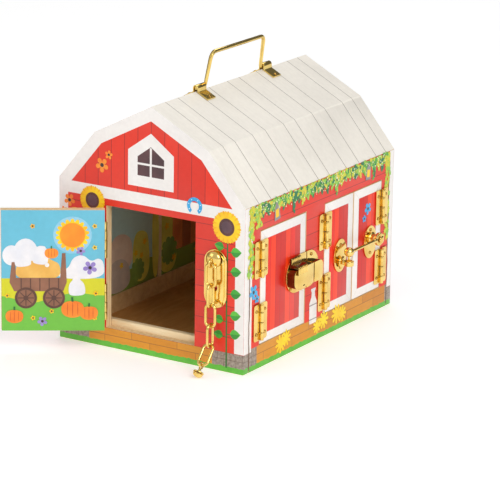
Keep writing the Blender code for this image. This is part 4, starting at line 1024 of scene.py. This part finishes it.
DOOR_IN.film("track_pin_end", [oval(-49.8, 77.5, 1.9, 1.9)], "white", 0.5)
print("front door picture ready")

# %% [markdown]
# ## Pictures inside the left doors
# Through the doorway one sees the inner faces of the two doors in the left wall. They are dim, but their
# colours read clearly: sky, haystacks, hills, bushes, and a rust-red shed on the rear leaf.

# %% Left door pictures
IN_A, IN_B = leaf_sheet("left_door_front", inner=True), leaf_sheet("left_door_rear", inner=True)
for sheet, name, outline, look, lift in (
    (IN_A, "left_sun", oval(18, 113, 10, 11), "orange", 0.05),
    (IN_A, "left_haystack", rounded([(4, 40), (5, 66), (14, 76), (32, 74), (42, 64), (42, 40)]), "tan", 0.06),
    (IN_A, "left_low_haystack", rounded([(0, 22), (1, 44), (12, 53), (28, 52), (38, 42), (38, 22)]),
     "grey_tan", 0.1),
    (IN_A, "left_hill", rounded([(42, 24), (42, 62), (48, 72), (60, 71), (68, 64), (70, 24)]), "hill", 0.08),
    (IN_A, "left_bush", moved(petals(9, 9, 11, 5), 50, 36), "bush", 0.16),
    (IN_A, "left_far_hill", rounded([(74, 22), (73, 84), (78, 94), (84, 92), (84, 22)]), "hill", 0.09),
    (IN_B, "rear_cloud", oval(-74, 104, 9, 7), "tan", 0.05),
    (IN_B, "rear_hill", rounded([(-84, 22), (-84, 80), (-74, 90), (-62, 84), (-54, 66), (-52, 22)]),
     "hill", 0.07),
    (IN_B, "rear_bush", moved(petals(9, 11, 13.5, 5), -66, 42), "bush", 0.18),
    (IN_B, "rear_shed", [(-60, 40), (-60, 92), (-38, 112), (-14, 92), (-14, 40)], "rust", 0.1),
    (IN_B, "rear_shed_door", rect(-44, 40, -30, 66), "shed_door", 0.16),
):
    sheet.film(name, [outline], look, lift)
IN_B.film("rear_bare_edge", [rect(-83.0, 20.7, -78.6, 121.3)], "bare_strip", 0.24, "bare_plywood")
bush_dots = [(47, 52, 0, 0.7), (61, 60, 0.4, 0.7), (56, 48, 0.2, 0.7), (24, 46, 0, 0.7)]
rear_dots = [(-70, 66, 0, 0.8), (-58, 34, 0.4, 0.8), (-20, 34, 0.2, 0.8)]
IN_A.scatter("left_blossoms", SMALL_BLOSSOM, bush_dots, "yellow", 0.24)
IN_B.scatter("rear_blossoms", SMALL_BLOSSOM, rear_dots, "yellow", 0.26)
print("left door pictures ready")

# %% [markdown]
# ## Brass
# All the fittings are brass-plated steel, polished but handled: the tone drifts a little between yellow
# and warmer gold, fine scratches break up the gloss, and where fingers don't reach it is slightly duller.
# A metallic shader with a gold colour does most of it, and one shared group adds the drift and scratches.

# %% Brass finish
inlets = {"Place": ORIGIN, "Bright": PURE_WHITE, "Dull": PURE_WHITE}
WEAR, net, given, result = new_group("handled_metal", inlets, ("Color", "Roughness", "Height"))
drift = net.noise(given["Place"], 70, 3)
drawn_out = {"Vector": given["Place"], "Rotation": (0.5, 0.3, 0.7), "Scale": (1, 1, 0.05)}
scratch = net.noise(net.add("Mapping", drawn_out), 1400, 3)
colour = net.mix(net.stretch(drift, 0.35, 0.7, 0, 1), given["Bright"], given["Dull"])
gloss = net.plus(net.stretch(drift, 0.35, 0.65, 0.08, 0.17), net.stretch(scratch, 0.5, 0.75, 0.0, 0.08))
net.send(result, Color=colour, Roughness=gloss, Height=scratch)


def brass_finish(title, bright, dull, strength=0.05):
    def build(net):
        worn = net.use(WEAR, Place=net.place(), Bright=bright, Dull=dull)
        return worn["Color"], worn["Roughness"], net.times(worn["Height"], strength)

    return new_finish(title, build, metallic=1.0)


BRASS = brass_finish("polished_brass", ink(245, 215, 130), ink(228, 191, 102))
SCREW_BRASS = brass_finish("screw_brass", ink(226, 184, 96), ink(190, 140, 62))
# A darker brass that paints shade and dark reflections onto the latch's top and end faces.
PAINTED_SHADE_BRASS = brass_finish("painted_shade_brass", ink(124, 96, 48), ink(88, 62, 32), 0.1)
print("brass ready")

# %% [markdown]
# ## Metal parts
# Pressed and cast fittings are small, so they are modelled in millimetres in the frame of the door or wall
# that holds them, and sized to metres when they are set in place. Plates start as flat outlines, rods and
# rings as primitives, and a narrow bevel on all of them gives the bright lines of polished edges.

# %% Metal helpers
STAND, SMALL, OUT = Matrix.Rotation(QUARTER, 4, "X"), Matrix.Scale(MM, 4), (0, -1, 0)


def plate(name, outline, thick, back, round_by=0.2):
    """An upright plate that faces -y, with its back at a y."""
    piece = flat_mesh(name, [outline], thick)
    piece.data.transform(Matrix.Translation((0, back - thick / 2, 0)) @ STAND)
    return soften(piece, round_by, 3)


def newest(name, where):
    """The primitive that was just added, with its name, and with its place put into its mesh."""
    piece = bpy.context.object
    piece.name = name
    piece.data.transform(where)
    return piece


def rod(name, radius, start, end, sides=28, round_by=0.15, tip=None):
    """A round bar between two points. With a tip radius it tapers."""
    start, end = Vector(start), Vector(end)
    tip = radius if tip is None else tip
    bpy.ops.mesh.primitive_cone_add(vertices=sides, radius1=radius, radius2=tip, depth=(end - start).length)
    turn = (end - start).to_track_quat("Z", "Y").to_matrix().to_4x4()
    piece = newest(name, Matrix.Translation((start + end) / 2) @ turn)
    return soften(piece, round_by, 2) if round_by else piece


def block(name, low, high, round_by=0.0):
    low, high = Vector(low), Vector(high)
    bpy.ops.mesh.primitive_cube_add(size=1)
    piece = newest(name, Matrix.Translation((low + high) / 2) @ Matrix.Diagonal((*(high - low), 1)))
    return soften(piece, round_by, 3) if round_by else piece


def hoop(name, major, minor, where, around, across):
    sizes = {"major_radius": major, "minor_radius": minor, "major_segments": around, "minor_segments": across}
    bpy.ops.mesh.primitive_torus_add(**sizes)
    piece = newest(name, where)
    piece.data.shade_smooth()
    return piece


def dome(name, radius, rise, where):
    """A round cap: the upper half of a ball, pressed flat, on a flat base."""
    bpy.ops.mesh.primitive_uv_sphere_add(segments=28, ring_count=16, radius=radius)
    with editing(bpy.context.object):
        bpy.ops.mesh.bisect(plane_co=(0, 0, 0), plane_no=(0, 0, 1), clear_inner=True, use_fill=True)
        bpy.ops.mesh.select_all(action="SELECT")
        bpy.ops.transform.resize(value=(1, 1, rise / radius))
    piece = newest(name, where)
    bpy.ops.object.shade_smooth_by_angle(angle=math.radians(50))
    return piece


def carve(piece, tool):
    only(piece)
    cut = piece.modifiers.new("cut", "BOOLEAN")
    cut.object, cut.operation, cut.solver = tool, "DIFFERENCE", "EXACT"
    bpy.ops.object.modifier_apply(modifier=cut.name)
    bpy.data.objects.remove(tool)
    return piece


def pick(mesh, test):
    """Select the corners whose places pass a test, and the faces between them."""
    bpy.context.tool_settings.mesh_select_mode = (True, False, False)
    for corner in mesh.vertices:
        corner.select = test(corner.co)
    for edge in mesh.edges:
        edge.select = False
    for face in mesh.polygons:
        face.select = all(mesh.vertices[number].select for number in face.vertices)


def assemble(name, parts, where, body, *stands_for):
    """Join a fitting's parts, in brass where they have no look, and set it in place in metres."""
    for part in parts:
        if not any(part.data.materials):
            dress(part, BRASS)
    piece = join(parts)
    piece.name = name
    piece.data.transform(where @ SMALL)
    return settle(piece, body, "polished_brass", *stands_for)


def outward_at(point, outward=OUT):
    """The place of a cap or screw whose foot is at a point and whose axis runs outward."""
    return Matrix.Translation(point) @ Vector(outward).to_track_quat("Z", "Y").to_matrix().to_4x4()


print("metal helpers ready")

# %% [markdown]
# ## The screw
# Every fitting is held by the same small round-head screw with a cross in its head. It is modelled once:
# a flattened half ball, with two thin bars cut out of it, and then copied to each place.

# %% Screw
SCREW_R, SCREW_RISE, CROSS_TURN, SCREW_TWIST = 1.5, 0.62, 0.35, 0.9
screw = dome("screw_master", SCREW_R, SCREW_RISE, HERE)
for turn in (CROSS_TURN, CROSS_TURN + QUARTER):
    bar = block("cross_cutter", (-1.05, -0.2, 0.3), (1.05, 0.2, 1.2))
    bar.data.transform(Matrix.Rotation(turn, 4, "Z"))
    carve(screw, bar)
with editing(screw):
    bpy.ops.mesh.remove_doubles(threshold=1e-6)
dress(screw, SCREW_BRASS)


def screws(places, outward=OUT, twist=SCREW_TWIST):
    """Screws at some places, each with its cross turned a bit further."""
    turns = [Matrix.Rotation(twist * number, 4, "Z") for number in range(len(places))]
    return [stamp(screw, outward_at(place, outward) @ turn) for place, turn in zip(places, turns)]


print("screw faces:", len(screw.data.polygons))

# %% [markdown]
# ## Butt hinges
# A hinge has two leaves cut from sheet, with strips rolled into knuckles round one pin. The wall's leaf
# keeps the first and third knuckle and the door's leaf the second and fourth. Each leaf is drawn as one
# outline with rounded corners, the rolls are added, and two screws. Both are modelled once and copied to
# the twelve hinges, turned over where a door hangs the other way.

# %% Hinges
HINGE_H, LEAF_W, ROLL_R, HINGE_CORNER, ROLL_GAP, SHORT_ROLL = 32.5, 10.4, 1.8, 2.2, 0.15, 0.22
HINGE_SCREW_U, HINGE_SCREW_V = 6.5, 10.2
top = HINGE_H / 2
cuts = [-top, -top + SHORT_ROLL * HINGE_H, 0, top - SHORT_ROLL * HINGE_H, top]


def hinge_leaf(name, side, own):
    """One leaf with its own two rolls, to the right or left of the pin."""
    notch, points = ROLL_R + 0.3, []
    for number, (low, high) in enumerate(zip(cuts, cuts[1:])):
        if number in own:
            points += [(0, low + ROLL_GAP), (0, high - ROLL_GAP)]
        else:
            below, beyond = (ROLL_GAP if number else 0), (ROLL_GAP if number < 3 else 0)
            points += [(notch, low - below), (notch, high + beyond)]
    far, rise = LEAF_W - HINGE_CORNER, top - HINGE_CORNER
    points += arc(far, rise, HINGE_CORNER, 90, 0, 6) + arc(far, -rise, HINGE_CORNER, 0, -90, 6)
    parts = [plate(name, [(side * u, v) for u, v in points], 0.8, 2.0, 0.18)]
    for number in own:
        low, high = cuts[number] + ROLL_GAP, cuts[number + 1] - ROLL_GAP
        parts.append(rod("roll", ROLL_R, (0, 0, low), (0, 0, high), 24, 0.2))
    for part in parts:
        dress(part, BRASS)
    return join(parts + screws([(side * HINGE_SCREW_U, 1.2, v) for v in (HINGE_SCREW_V, -HINGE_SCREW_V)]))


masters = {
    "wall": hinge_leaf("wall_leaf_master", -1, (0, 2)),
    "door": hinge_leaf("door_leaf_master", 1, (1, 3)),
}
for name, (pin, turn, side, width) in LEAVES.items():
    wall_turn = 0.0 if name == "front_door" else turn
    for label in ("lower", "upper"):
        for kind, angle, body in (("wall", wall_turn, "house"), ("door", turn, name)):
            node = name + "_" + label + "_hinge_" + kind + "_leaf"
            low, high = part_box(node)
            where = Matrix.Translation((*pin, (low.z + high.z) / 2)) @ Matrix.Rotation(angle, 4, "Z")
            if side < 0:
                where = where @ Matrix.Rotation(math.pi, 4, "Y")
            assemble(node + "_brass", [stamp(masters[kind], HERE)], where, body, node)
for master in masters.values():
    bpy.data.objects.remove(master)
print("hinge leaves: 24")

# %% [markdown]
# ## Rim latch of the single door
# A box on the door holds a flat bolt, and a shorter box on the post catches it. The thumb plate on top of
# the box slides the bolt, and ribs on it give a finger some grip. The boxes are pressed brass with soft
# corners. They start as plates whose end corners are rounded, and the bolt's channel is cut out of them.
# Faces that look up or away take a darker brass: painted shade and a painted reflection of a dark room.

# %% Rim latch
EDGE, JAMB, LATCH_MID, MID = 73.48, 74.9, 69.69, 68.49
BOX_H, BOX_DEPTH, BOX_BACK, PLATE_H, PLATE_BACK = 18, 8.0, 1.3, 33, 2.0
side_leaf = leaf_frames["side_door"]


def end_outline(flat_end, round_end, middle, tall, radius):
    """A plate's outline with one straight end and one end whose two corners are rounded."""
    way = 1 if round_end > flat_end else -1
    centre, low, high = round_end - way * radius, middle - tall / 2, middle + tall / 2
    points = [(flat_end, low)] + arc(centre, low + radius, radius, -90, -90 + 90 * way, 10)
    return points + arc(centre, high - radius, radius, 90 - 90 * way, 90, 10) + [(flat_end, high)]


case = plate("case_box", end_outline(EDGE, EDGE - 31.9, MID, BOX_H, 6.4), BOX_DEPTH, BOX_BACK, 1.0)
carve(case, block("channel", (43.3, -5.15, MID - 4.3), (EDGE + 3, -0.55, MID + 4.3)))
carve(case, block("slot", (50.7, -4.65, MID), (61.3, -1.05, MID + 12)))
carve(case, block("key_notch", (55.9, -7.4, MID - 7.9), (59.1, -5.6, MID - 6.9)))
# Faces that look up or towards -x, the case's round end, take the dark brass: painted shade and painted
# reflection.
dress(case, BRASS, PAINTED_SHADE_BRASS, choose=lambda face: int(face.normal.x < -0.6 or face.normal.z > 0.75))
backing = plate("case_plate", end_outline(EDGE, EDGE - 32.7, LATCH_MID, PLATE_H, 16.4), 1.0, PLATE_BACK, 0.35)
holes = [(61, 1.0, LATCH_MID + 13.2), (61, 1.0, LATCH_MID - 13.4)]
holes += [(47.5, 1.0, LATCH_MID + 10.6), (47.5, 1.0, LATCH_MID - 11.4)]
assemble("rim_latch_case", [case, backing] + screws(holes), side_leaf, "side_door", "latch_case")

GRIP_MID, GRIP_W, UPPER_FROM = 52.98, 16, 11.4
bolt = block("bolt_bar", (43.6, -4.85, MID - 4), (EDGE - 0.8, -0.85, MID + 4), 0.4)
neck = block("bolt_neck", (50.98, -4.35, MID), (54.98, -1.35, MID + 10.6), 0.2)
section = [(-8.5, 3.8), (-7.0, 3.8), (-7.0, 9.3), (0.4, 9.3), (0.4, 17.8)]
section += [(-1.1, 17.8), (-1.6, 12.6), (-7.6, 11.6), (-8.5, 9.6)]
grip = flat_mesh("thumb_plate", [[(y, MID + rise) for y, rise in section]], GRIP_W)
across = Matrix(((0, 0, 1, 0), (1, 0, 0, 0), (0, 1, 0, 0), (0, 0, 0, 1)))
grip.data.transform(Matrix.Translation((GRIP_MID, 0, 0)) @ across)
soften(grip, 0.35, 3)


# The thumb plate's top, its -x end and its upper front take the dark brass: painted shade and painted
# reflection.
def choose_grip(face):
    upper_front = face.normal.y < -0.75 and face.center.z > MID + UPPER_FROM
    return int(face.normal.z > 0.75 or face.normal.x < -0.75 or upper_front)


dress(grip, BRASS, PAINTED_SHADE_BRASS, choose=choose_grip)
ribs = []
for name, radius, count, first, step, y, low, high, sides, round_by in (
    ("thumb_rib", 0.95, 6, 46.3, 2.67, -8.1, 4.2, 10.6, 16, 0.3),
    ("upper_rib", 0.7, 7, 46.6, 2.12, -1.2, 13.2, 17.2, 14, 0.2),
):
    for u in [first + step * k for k in range(count)]:
        ribs.append(rod(name, radius, (u, y, MID + low), (u, y, MID + high), sides, round_by))
assemble("rim_latch_bolt", [bolt, neck, grip] + ribs, side_leaf, "latch_bolt", "latch_bolt")

keeper = plate("keeper_box", end_outline(JAMB, JAMB + 14.2, MID, BOX_H, 5), BOX_DEPTH, BOX_BACK, 1.0)
carve(keeper, block("pocket", (JAMB - 3, -5.45, MID - 4.6), (JAMB + 11.6, -0.25, MID + 4.6)))
# The keeper's upward faces take the dark brass: painted shade and painted reflection.
dress(keeper, BRASS, PAINTED_SHADE_BRASS, choose=lambda face: int(face.normal.z > 0.75))
keeper_end = (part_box("latch_keeper")[1].y - LEAVES["side_door"][0][1]) / MM
keeper_line = end_outline(JAMB, keeper_end, LATCH_MID, PLATE_H, 16.0)
keeper_back = plate("keeper_plate", keeper_line, 1.0, PLATE_BACK, 0.35)
parts = [keeper, keeper_back] + screws([(81.5, 1.0, LATCH_MID + 12.4), (81.5, 1.0, LATCH_MID - 12.8)])
assemble("rim_latch_keeper", parts, side_leaf, "house", "latch_keeper")
print("rim latch ready, keeper ends at", round(keeper_end, 2))

# %% [markdown]
# ## Hook latch of the stable doors
# A bar turns on a post on the rear door, and its tip drops into an eye on the front door. Both sit on
# oval plates. The bar's end carries a round grip for small fingers.

# %% Hook latch
STABLE_REACH, OVAL_MID, HOOK_Z, HOOK_Y, OVAL_W, OVAL_H = 48.86, 68.475, 72.475, -7.7, 10.9, 15.1
HOOK_LENGTH, ROD_R, BALL_R, EYE_Z = 52.83, 1.5, 4.5, 62.73
eye_u, post_u = 0.538 * STABLE_REACH, -0.411 * STABLE_REACH
sleeve = rod("eye_sleeve", 4.5, (eye_u, HOOK_Y, 60.48), (eye_u, HOOK_Y, 64.97), 36, 0.5)
parts = [
    plate("eye_plate", oval(eye_u, OVAL_MID, OVAL_W, OVAL_H, 48), 1.0, PLATE_BACK, 0.4),
    dome("eye_boss", 5.4, 1.5, outward_at((eye_u, 1.05, 62.9))),
    rod("eye_stem", 3.0, (eye_u, 0.9, EYE_Z), (eye_u, -4.4, EYE_Z), 24, 0.1, 1.7),
    carve(sleeve, rod("eye_bore", 3.0, (eye_u, HOOK_Y, 58), (eye_u, HOOK_Y, 68), 32, 0)),
]
parts += screws([(eye_u, 1.0, OVAL_MID + 10), (eye_u, 1.0, OVAL_MID - 11)])
front_leaf, rear_leaf = leaf_frames["stable_door_front"], leaf_frames["stable_door_rear"]
assemble("hook_eye", parts, front_leaf, "stable_door_front", "hook_eye_plate")


def hook_rod(name, radius, start_u, end_u, *more):
    """A part of the bar between two places along the doors."""
    return rod(name, radius, (start_u, HOOK_Y, HOOK_Z), (end_u, HOOK_Y, HOOK_Z), *more)


def post_rod(name, radius, start_y, end_y, *more):
    """A round that stands on the post's plate."""
    return rod(name, radius, (post_u, start_y, HOOK_Z), (post_u, end_y, HOOK_Z), *more)


parts = [
    plate("post_plate", oval(post_u, OVAL_MID, OVAL_W, OVAL_H, 48), 1.0, PLATE_BACK, 0.4),
    dome("post_boss", 5.6, 2.0, outward_at((post_u, 1.05, HOOK_Z))),
    post_rod("post_shoulder", 3.8, 1.0, -5.7, 32, 0.3),
    post_rod("post", 2.2, -5.0, -10.0, 24, 0),
    dome("post_head", 3.5, 1.0, outward_at((post_u, -9.7, HOOK_Z))),
]
parts += screws([(post_u, 1.0, OVAL_MID + 11.4), (post_u, 1.0, OVAL_MID - 10)])
assemble("hook_post", parts, rear_leaf, "stable_door_rear", "hook_pivot_plate")

hook_end = post_u - HOOK_LENGTH
ring = carve(post_rod("hook_ring", 6.0, -6.0, -9.4, 44, 0.9), post_rod("ring_bore", 2.5, 0, -14, 32, 0))
collar = hook_rod("hook_collar", 2.3, post_u - 5.2, post_u - 9.5, 24, 0.3, 1.5)
bar = hook_rod("hook_rod", ROD_R, post_u - 5, hook_end, 24, 0)
bpy.ops.mesh.primitive_uv_sphere_add(segments=32, ring_count=20, radius=BALL_R, location=(0, 0, 0))
pressed = Matrix.Diagonal((1, 1, 0.96, 1))
ball = newest("grip_ball", Matrix.Translation((hook_end, HOOK_Y, HOOK_Z + 0.5)) @ pressed)
bpy.ops.object.shade_smooth_by_angle(angle=math.radians(50))
grip_neck = hook_rod("grip_neck", 1.4, hook_end + 8.4, hook_end + 3.4, 24, 0.1, 3.0)
tip = rod("hook_tip", 1.25, (hook_end, HOOK_Y, HOOK_Z), (hook_end, HOOK_Y, HOOK_Z - 7.2), 24, 0.35)
assemble("hook", [ring, collar, bar, ball, grip_neck, tip], rear_leaf, "hook", "hook_bar")
print("hook latch ready")

# %% [markdown]
# ## Chain guard
# A long plate with round ends sits beside the doorway. Its middle is raised, it has a hole below and an
# eye above, and five links with a small knob hang from the eye. A link starts as a ring: its upper half is
# moved up and its lower half down, which stretches it and keeps its wire round. Every other link is a
# little wider, and the last one leans out.

# %% Chain guard
GUARD_U, GUARD_V, GUARD_EYE_V, HOLE_V, CHAIN_Y = 66.8, 80.96, 96.36, 73.46, -134.5
LINK_R, WIRE_R, LINK_STRETCH, LINK_SIDES, ODD_WIDTH, LEAN = 4.35, 1.2, 5.65, 32, 1.08, -math.radians(40)


def stadium(u, v, wide, tall):
    half, straight = wide / 2, (tall - wide) / 2
    return arc(u, v + straight, half, 0, 180, 14) + arc(u, v - straight, half, 180, 360, 14)


rim = plate("guard_rim", stadium(GUARD_U, GUARD_V, 22.5, 51.4), 1.3, -126.3, 0.4)
field = plate("guard_field", stadium(GUARD_U, GUARD_V, 18.4, 47.3), 2.4, -126.35, 1.05)
for part in (rim, field):
    carve(part, rod("guard_bore", 3.0, (GUARD_U, -120, HOLE_V), (GUARD_U, -135, HOLE_V), 32, 0))
eye_place = Matrix.Translation((GUARD_U, CHAIN_Y, GUARD_EYE_V)) @ Matrix.Rotation(QUARTER, 4, "Y")
parts = [
    rim, field, hoop("guard_eye", 3.2, 1.0, eye_place, 40, 16),
    rod("guard_neck", 1.25, (GUARD_U, -131.4, GUARD_EYE_V), (GUARD_U, -127, GUARD_EYE_V), 20, 0),
    dome("guard_boss", 7.4, 3.9, outward_at((GUARD_U, -128.6, 98.8))),
]
parts += screws([(GUARD_U, -128.7, GUARD_V - 18.8)])
assemble("chain_guard", parts, HERE, "house", "chain_guard_plate")

standing = STAND @ Matrix.Rotation(math.pi / LINK_SIDES, 4, "Z")
link = hoop("link_master", LINK_R, WIRE_R, standing, LINK_SIDES, 14)
for way in (1, -1):
    pick(link.data, lambda place: place.z * way > 0)
    with editing(link, everything=False):
        bpy.ops.transform.translate(value=(0, 0, LINK_STRETCH * way))
for number in range(1, 6):
    name = "chain_link_" + str(number)
    low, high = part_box(name)
    middle = Matrix.Translation((low + high) / 2 / MM)
    if number == 5:
        middle = middle @ Matrix.Rotation(LEAN, 4, "X")
    elif number % 2 == 0:
        middle = middle @ Matrix.Rotation(QUARTER, 4, "Z")
    if number % 2:
        middle = middle @ Matrix.Diagonal((ODD_WIDTH, 1, 1, 1))
    assemble("brass_link_" + str(number), [stamp(link, middle)], HERE, name, name)
bpy.data.objects.remove(link)
print("chain ready")

# %% [markdown]
# ## Handle brackets, track and barrel bolt
# The remaining fittings have nearly the right form in the CAD model. They are copied, their edges are
# rounded, and their screws added: one on each strap of the handle's brackets, four on the barrel bolt's
# case and two on its keeper. The handle's wire is fattened a little above its feet, and the chain's end
# knob gets a domed button.

# %% Remaining fittings
STRAP_SCREW, STRAP_THICK, WIRE_FROM, WIRE_GROWTH = 11.4, 1.2, 0.229, 0.00022
CASE_X, SCREW_INSET, CASE_SCREW, KEEPER_SCREW, WEST = -96.2, 8.0, 5.2, 5.4, (-1, 0, 0)


def fitting(name, node, body, extras=(), width=0.2):
    """A copy of a CAD node in brass, with softened edges and its extra parts."""
    piece = soften(copy_of_node(name, node), width * MM, 2, 38)
    piece.data.transform(Matrix.Scale(1 / MM, 4))
    return assemble(name, [piece, *extras], HERE, body, node)


slope = math.atan2(RIDGE - KNEE_V, KNEE_U)
for node in ("handle_bracket_front", "handle_bracket_back"):
    low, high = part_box(node)
    mid_y, heads = (low.y + high.y) / 2 / MM, []
    for side in (1, -1):
        foot = Vector((side * STRAP_SCREW * math.cos(slope), mid_y, RIDGE - STRAP_SCREW * math.sin(slope)))
        way = Vector((side * math.sin(slope), 0, math.cos(slope)))
        heads += screws([foot + STRAP_THICK * way], way)
    fitting(node + "_brass", node, "house", heads)
wire = fitting("handle_wire", "handle_bail", "handle", width=0.02)
pick(wire.data, lambda place: place.z > WIRE_FROM)
with editing(wire, everything=False):
    bpy.ops.transform.shrink_fatten(value=WIRE_GROWTH)

base = max(nodes["chain_knob"].data.polygons, key=lambda face: face.area)
foot, way = Vector(base.center) / MM, Vector(base.normal)
button = [
    rod("button_rim", 4.8, foot - 1.3 * way, foot + 0.1 * way, 36, 0.4),
    dome("button_dome", 4.3, 2.4, outward_at(foot + 0.05 * way, way)),
]
fitting("chain_end_knob", "chain_knob", "chain_knob", button, 0.15)
fitting("door_chain_track", "chain_track", "front_door")
low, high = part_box("bolt_barrel")
near_u, far_u, mid_v = low.y / MM + SCREW_INSET, high.y / MM - SCREW_INSET, (low.z + high.z) / 2 / MM
places = [(CASE_X, u, mid_v + v) for u in (near_u, far_u) for v in (-CASE_SCREW, CASE_SCREW)]
fitting("barrel_bolt_case", "bolt_barrel", "left_door_rear", screws(places, WEST, 0))
low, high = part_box("bolt_keeper")
mid_u, mid_v = (low.y + high.y) / 2 / MM, (low.z + high.z) / 2 / MM
places = [(CASE_X, mid_u, mid_v + v) for v in (-KEEPER_SCREW, KEEPER_SCREW)]
fitting("barrel_bolt_keeper", "bolt_keeper", "left_door_front", screws(places, WEST, 0))
fitting("barrel_bolt_rod", "bolt_rod", "barrel_bolt_rod")
bpy.data.objects.remove(screw)
print("all fittings in brass")

# %% [markdown]
# ## Floor and light
# The barn stands on a wide pale floor. Broad area lights, one high on the right, one on the left and one
# behind, give soft shadows. The sky is bright towards the lamps, in front and above, and dark behind, as in
# a studio, so that curved metal shows dark bands beside bright ones. What the camera sees of it is pale.

# %% Floor and lights
FLOOR_GLOW, SKY_STRENGTH, LAMPS_WAY = 0.38, 0.64, (0.3, -0.75, 0.6)


def pale_floor(net):
    cloud = net.noise(net.place(), 1.5, 2)
    colour = net.mix(cloud, (0.84, 0.84, 0.84, 1), (0.88, 0.88, 0.88, 1))
    return colour, net.stretch(cloud, 0, 1, 0.5, 0.6), None


bpy.ops.mesh.primitive_plane_add(size=24, location=(0, 0, -0.0004))
floor = bpy.context.object
floor.name = "studio_floor"
floor.data.materials.append(new_finish("pale_floor", pale_floor))
floor_shader = floor.data.materials[0].node_tree.nodes["Principled BSDF"]
floor_shader.inputs["Emission Color"].default_value = PURE_WHITE
floor_shader.inputs["Emission Strength"].default_value = FLOOR_GLOW

world = bpy.data.worlds.new("soft_studio")
bpy.context.scene.world = world
world.use_nodes = True
sky = Net(world.node_tree)
towards = sky.add("VectorMath", {0: sky.add("TexCoord", {}, 0), 1: LAMPS_WAY}, 1, operation="DOT_PRODUCT")
glow = sky.stretch(towards, -0.05, 0.35, 0.22, 1.0)
lit = sky.add("CombineColor", {0: glow, 1: glow, 2: glow})
background = world.node_tree.nodes["Background"]
seen = sky.mix(sky.add("LightPath", {}, 0), lit, (0.93, 0.93, 0.93, 1))
world.node_tree.links.new(seen, background.inputs["Color"])
background.inputs["Strength"].default_value = SKY_STRENGTH


def softbox(name, place, size, power):
    """An area light that faces the barn's middle."""
    bpy.ops.object.light_add(type="AREA", location=place)
    light = bpy.context.object
    light.name = name
    light.data.shape = "RECTANGLE"
    light.data.size, light.data.size_y = size
    light.data.energy = power
    light.rotation_euler = (AIM - Vector(place)).to_track_quat("-Z", "Y").to_euler()


softbox("key_right", (2.0, -1.1, 1.5), (1.3, 1.3), 27)
softbox("fill_left", (-1.3, -2.1, 1.1), (1.1, 1.1), 5)
softbox("top_back", (-0.6, 1.4, 2.2), (1.6, 1.0), 14)
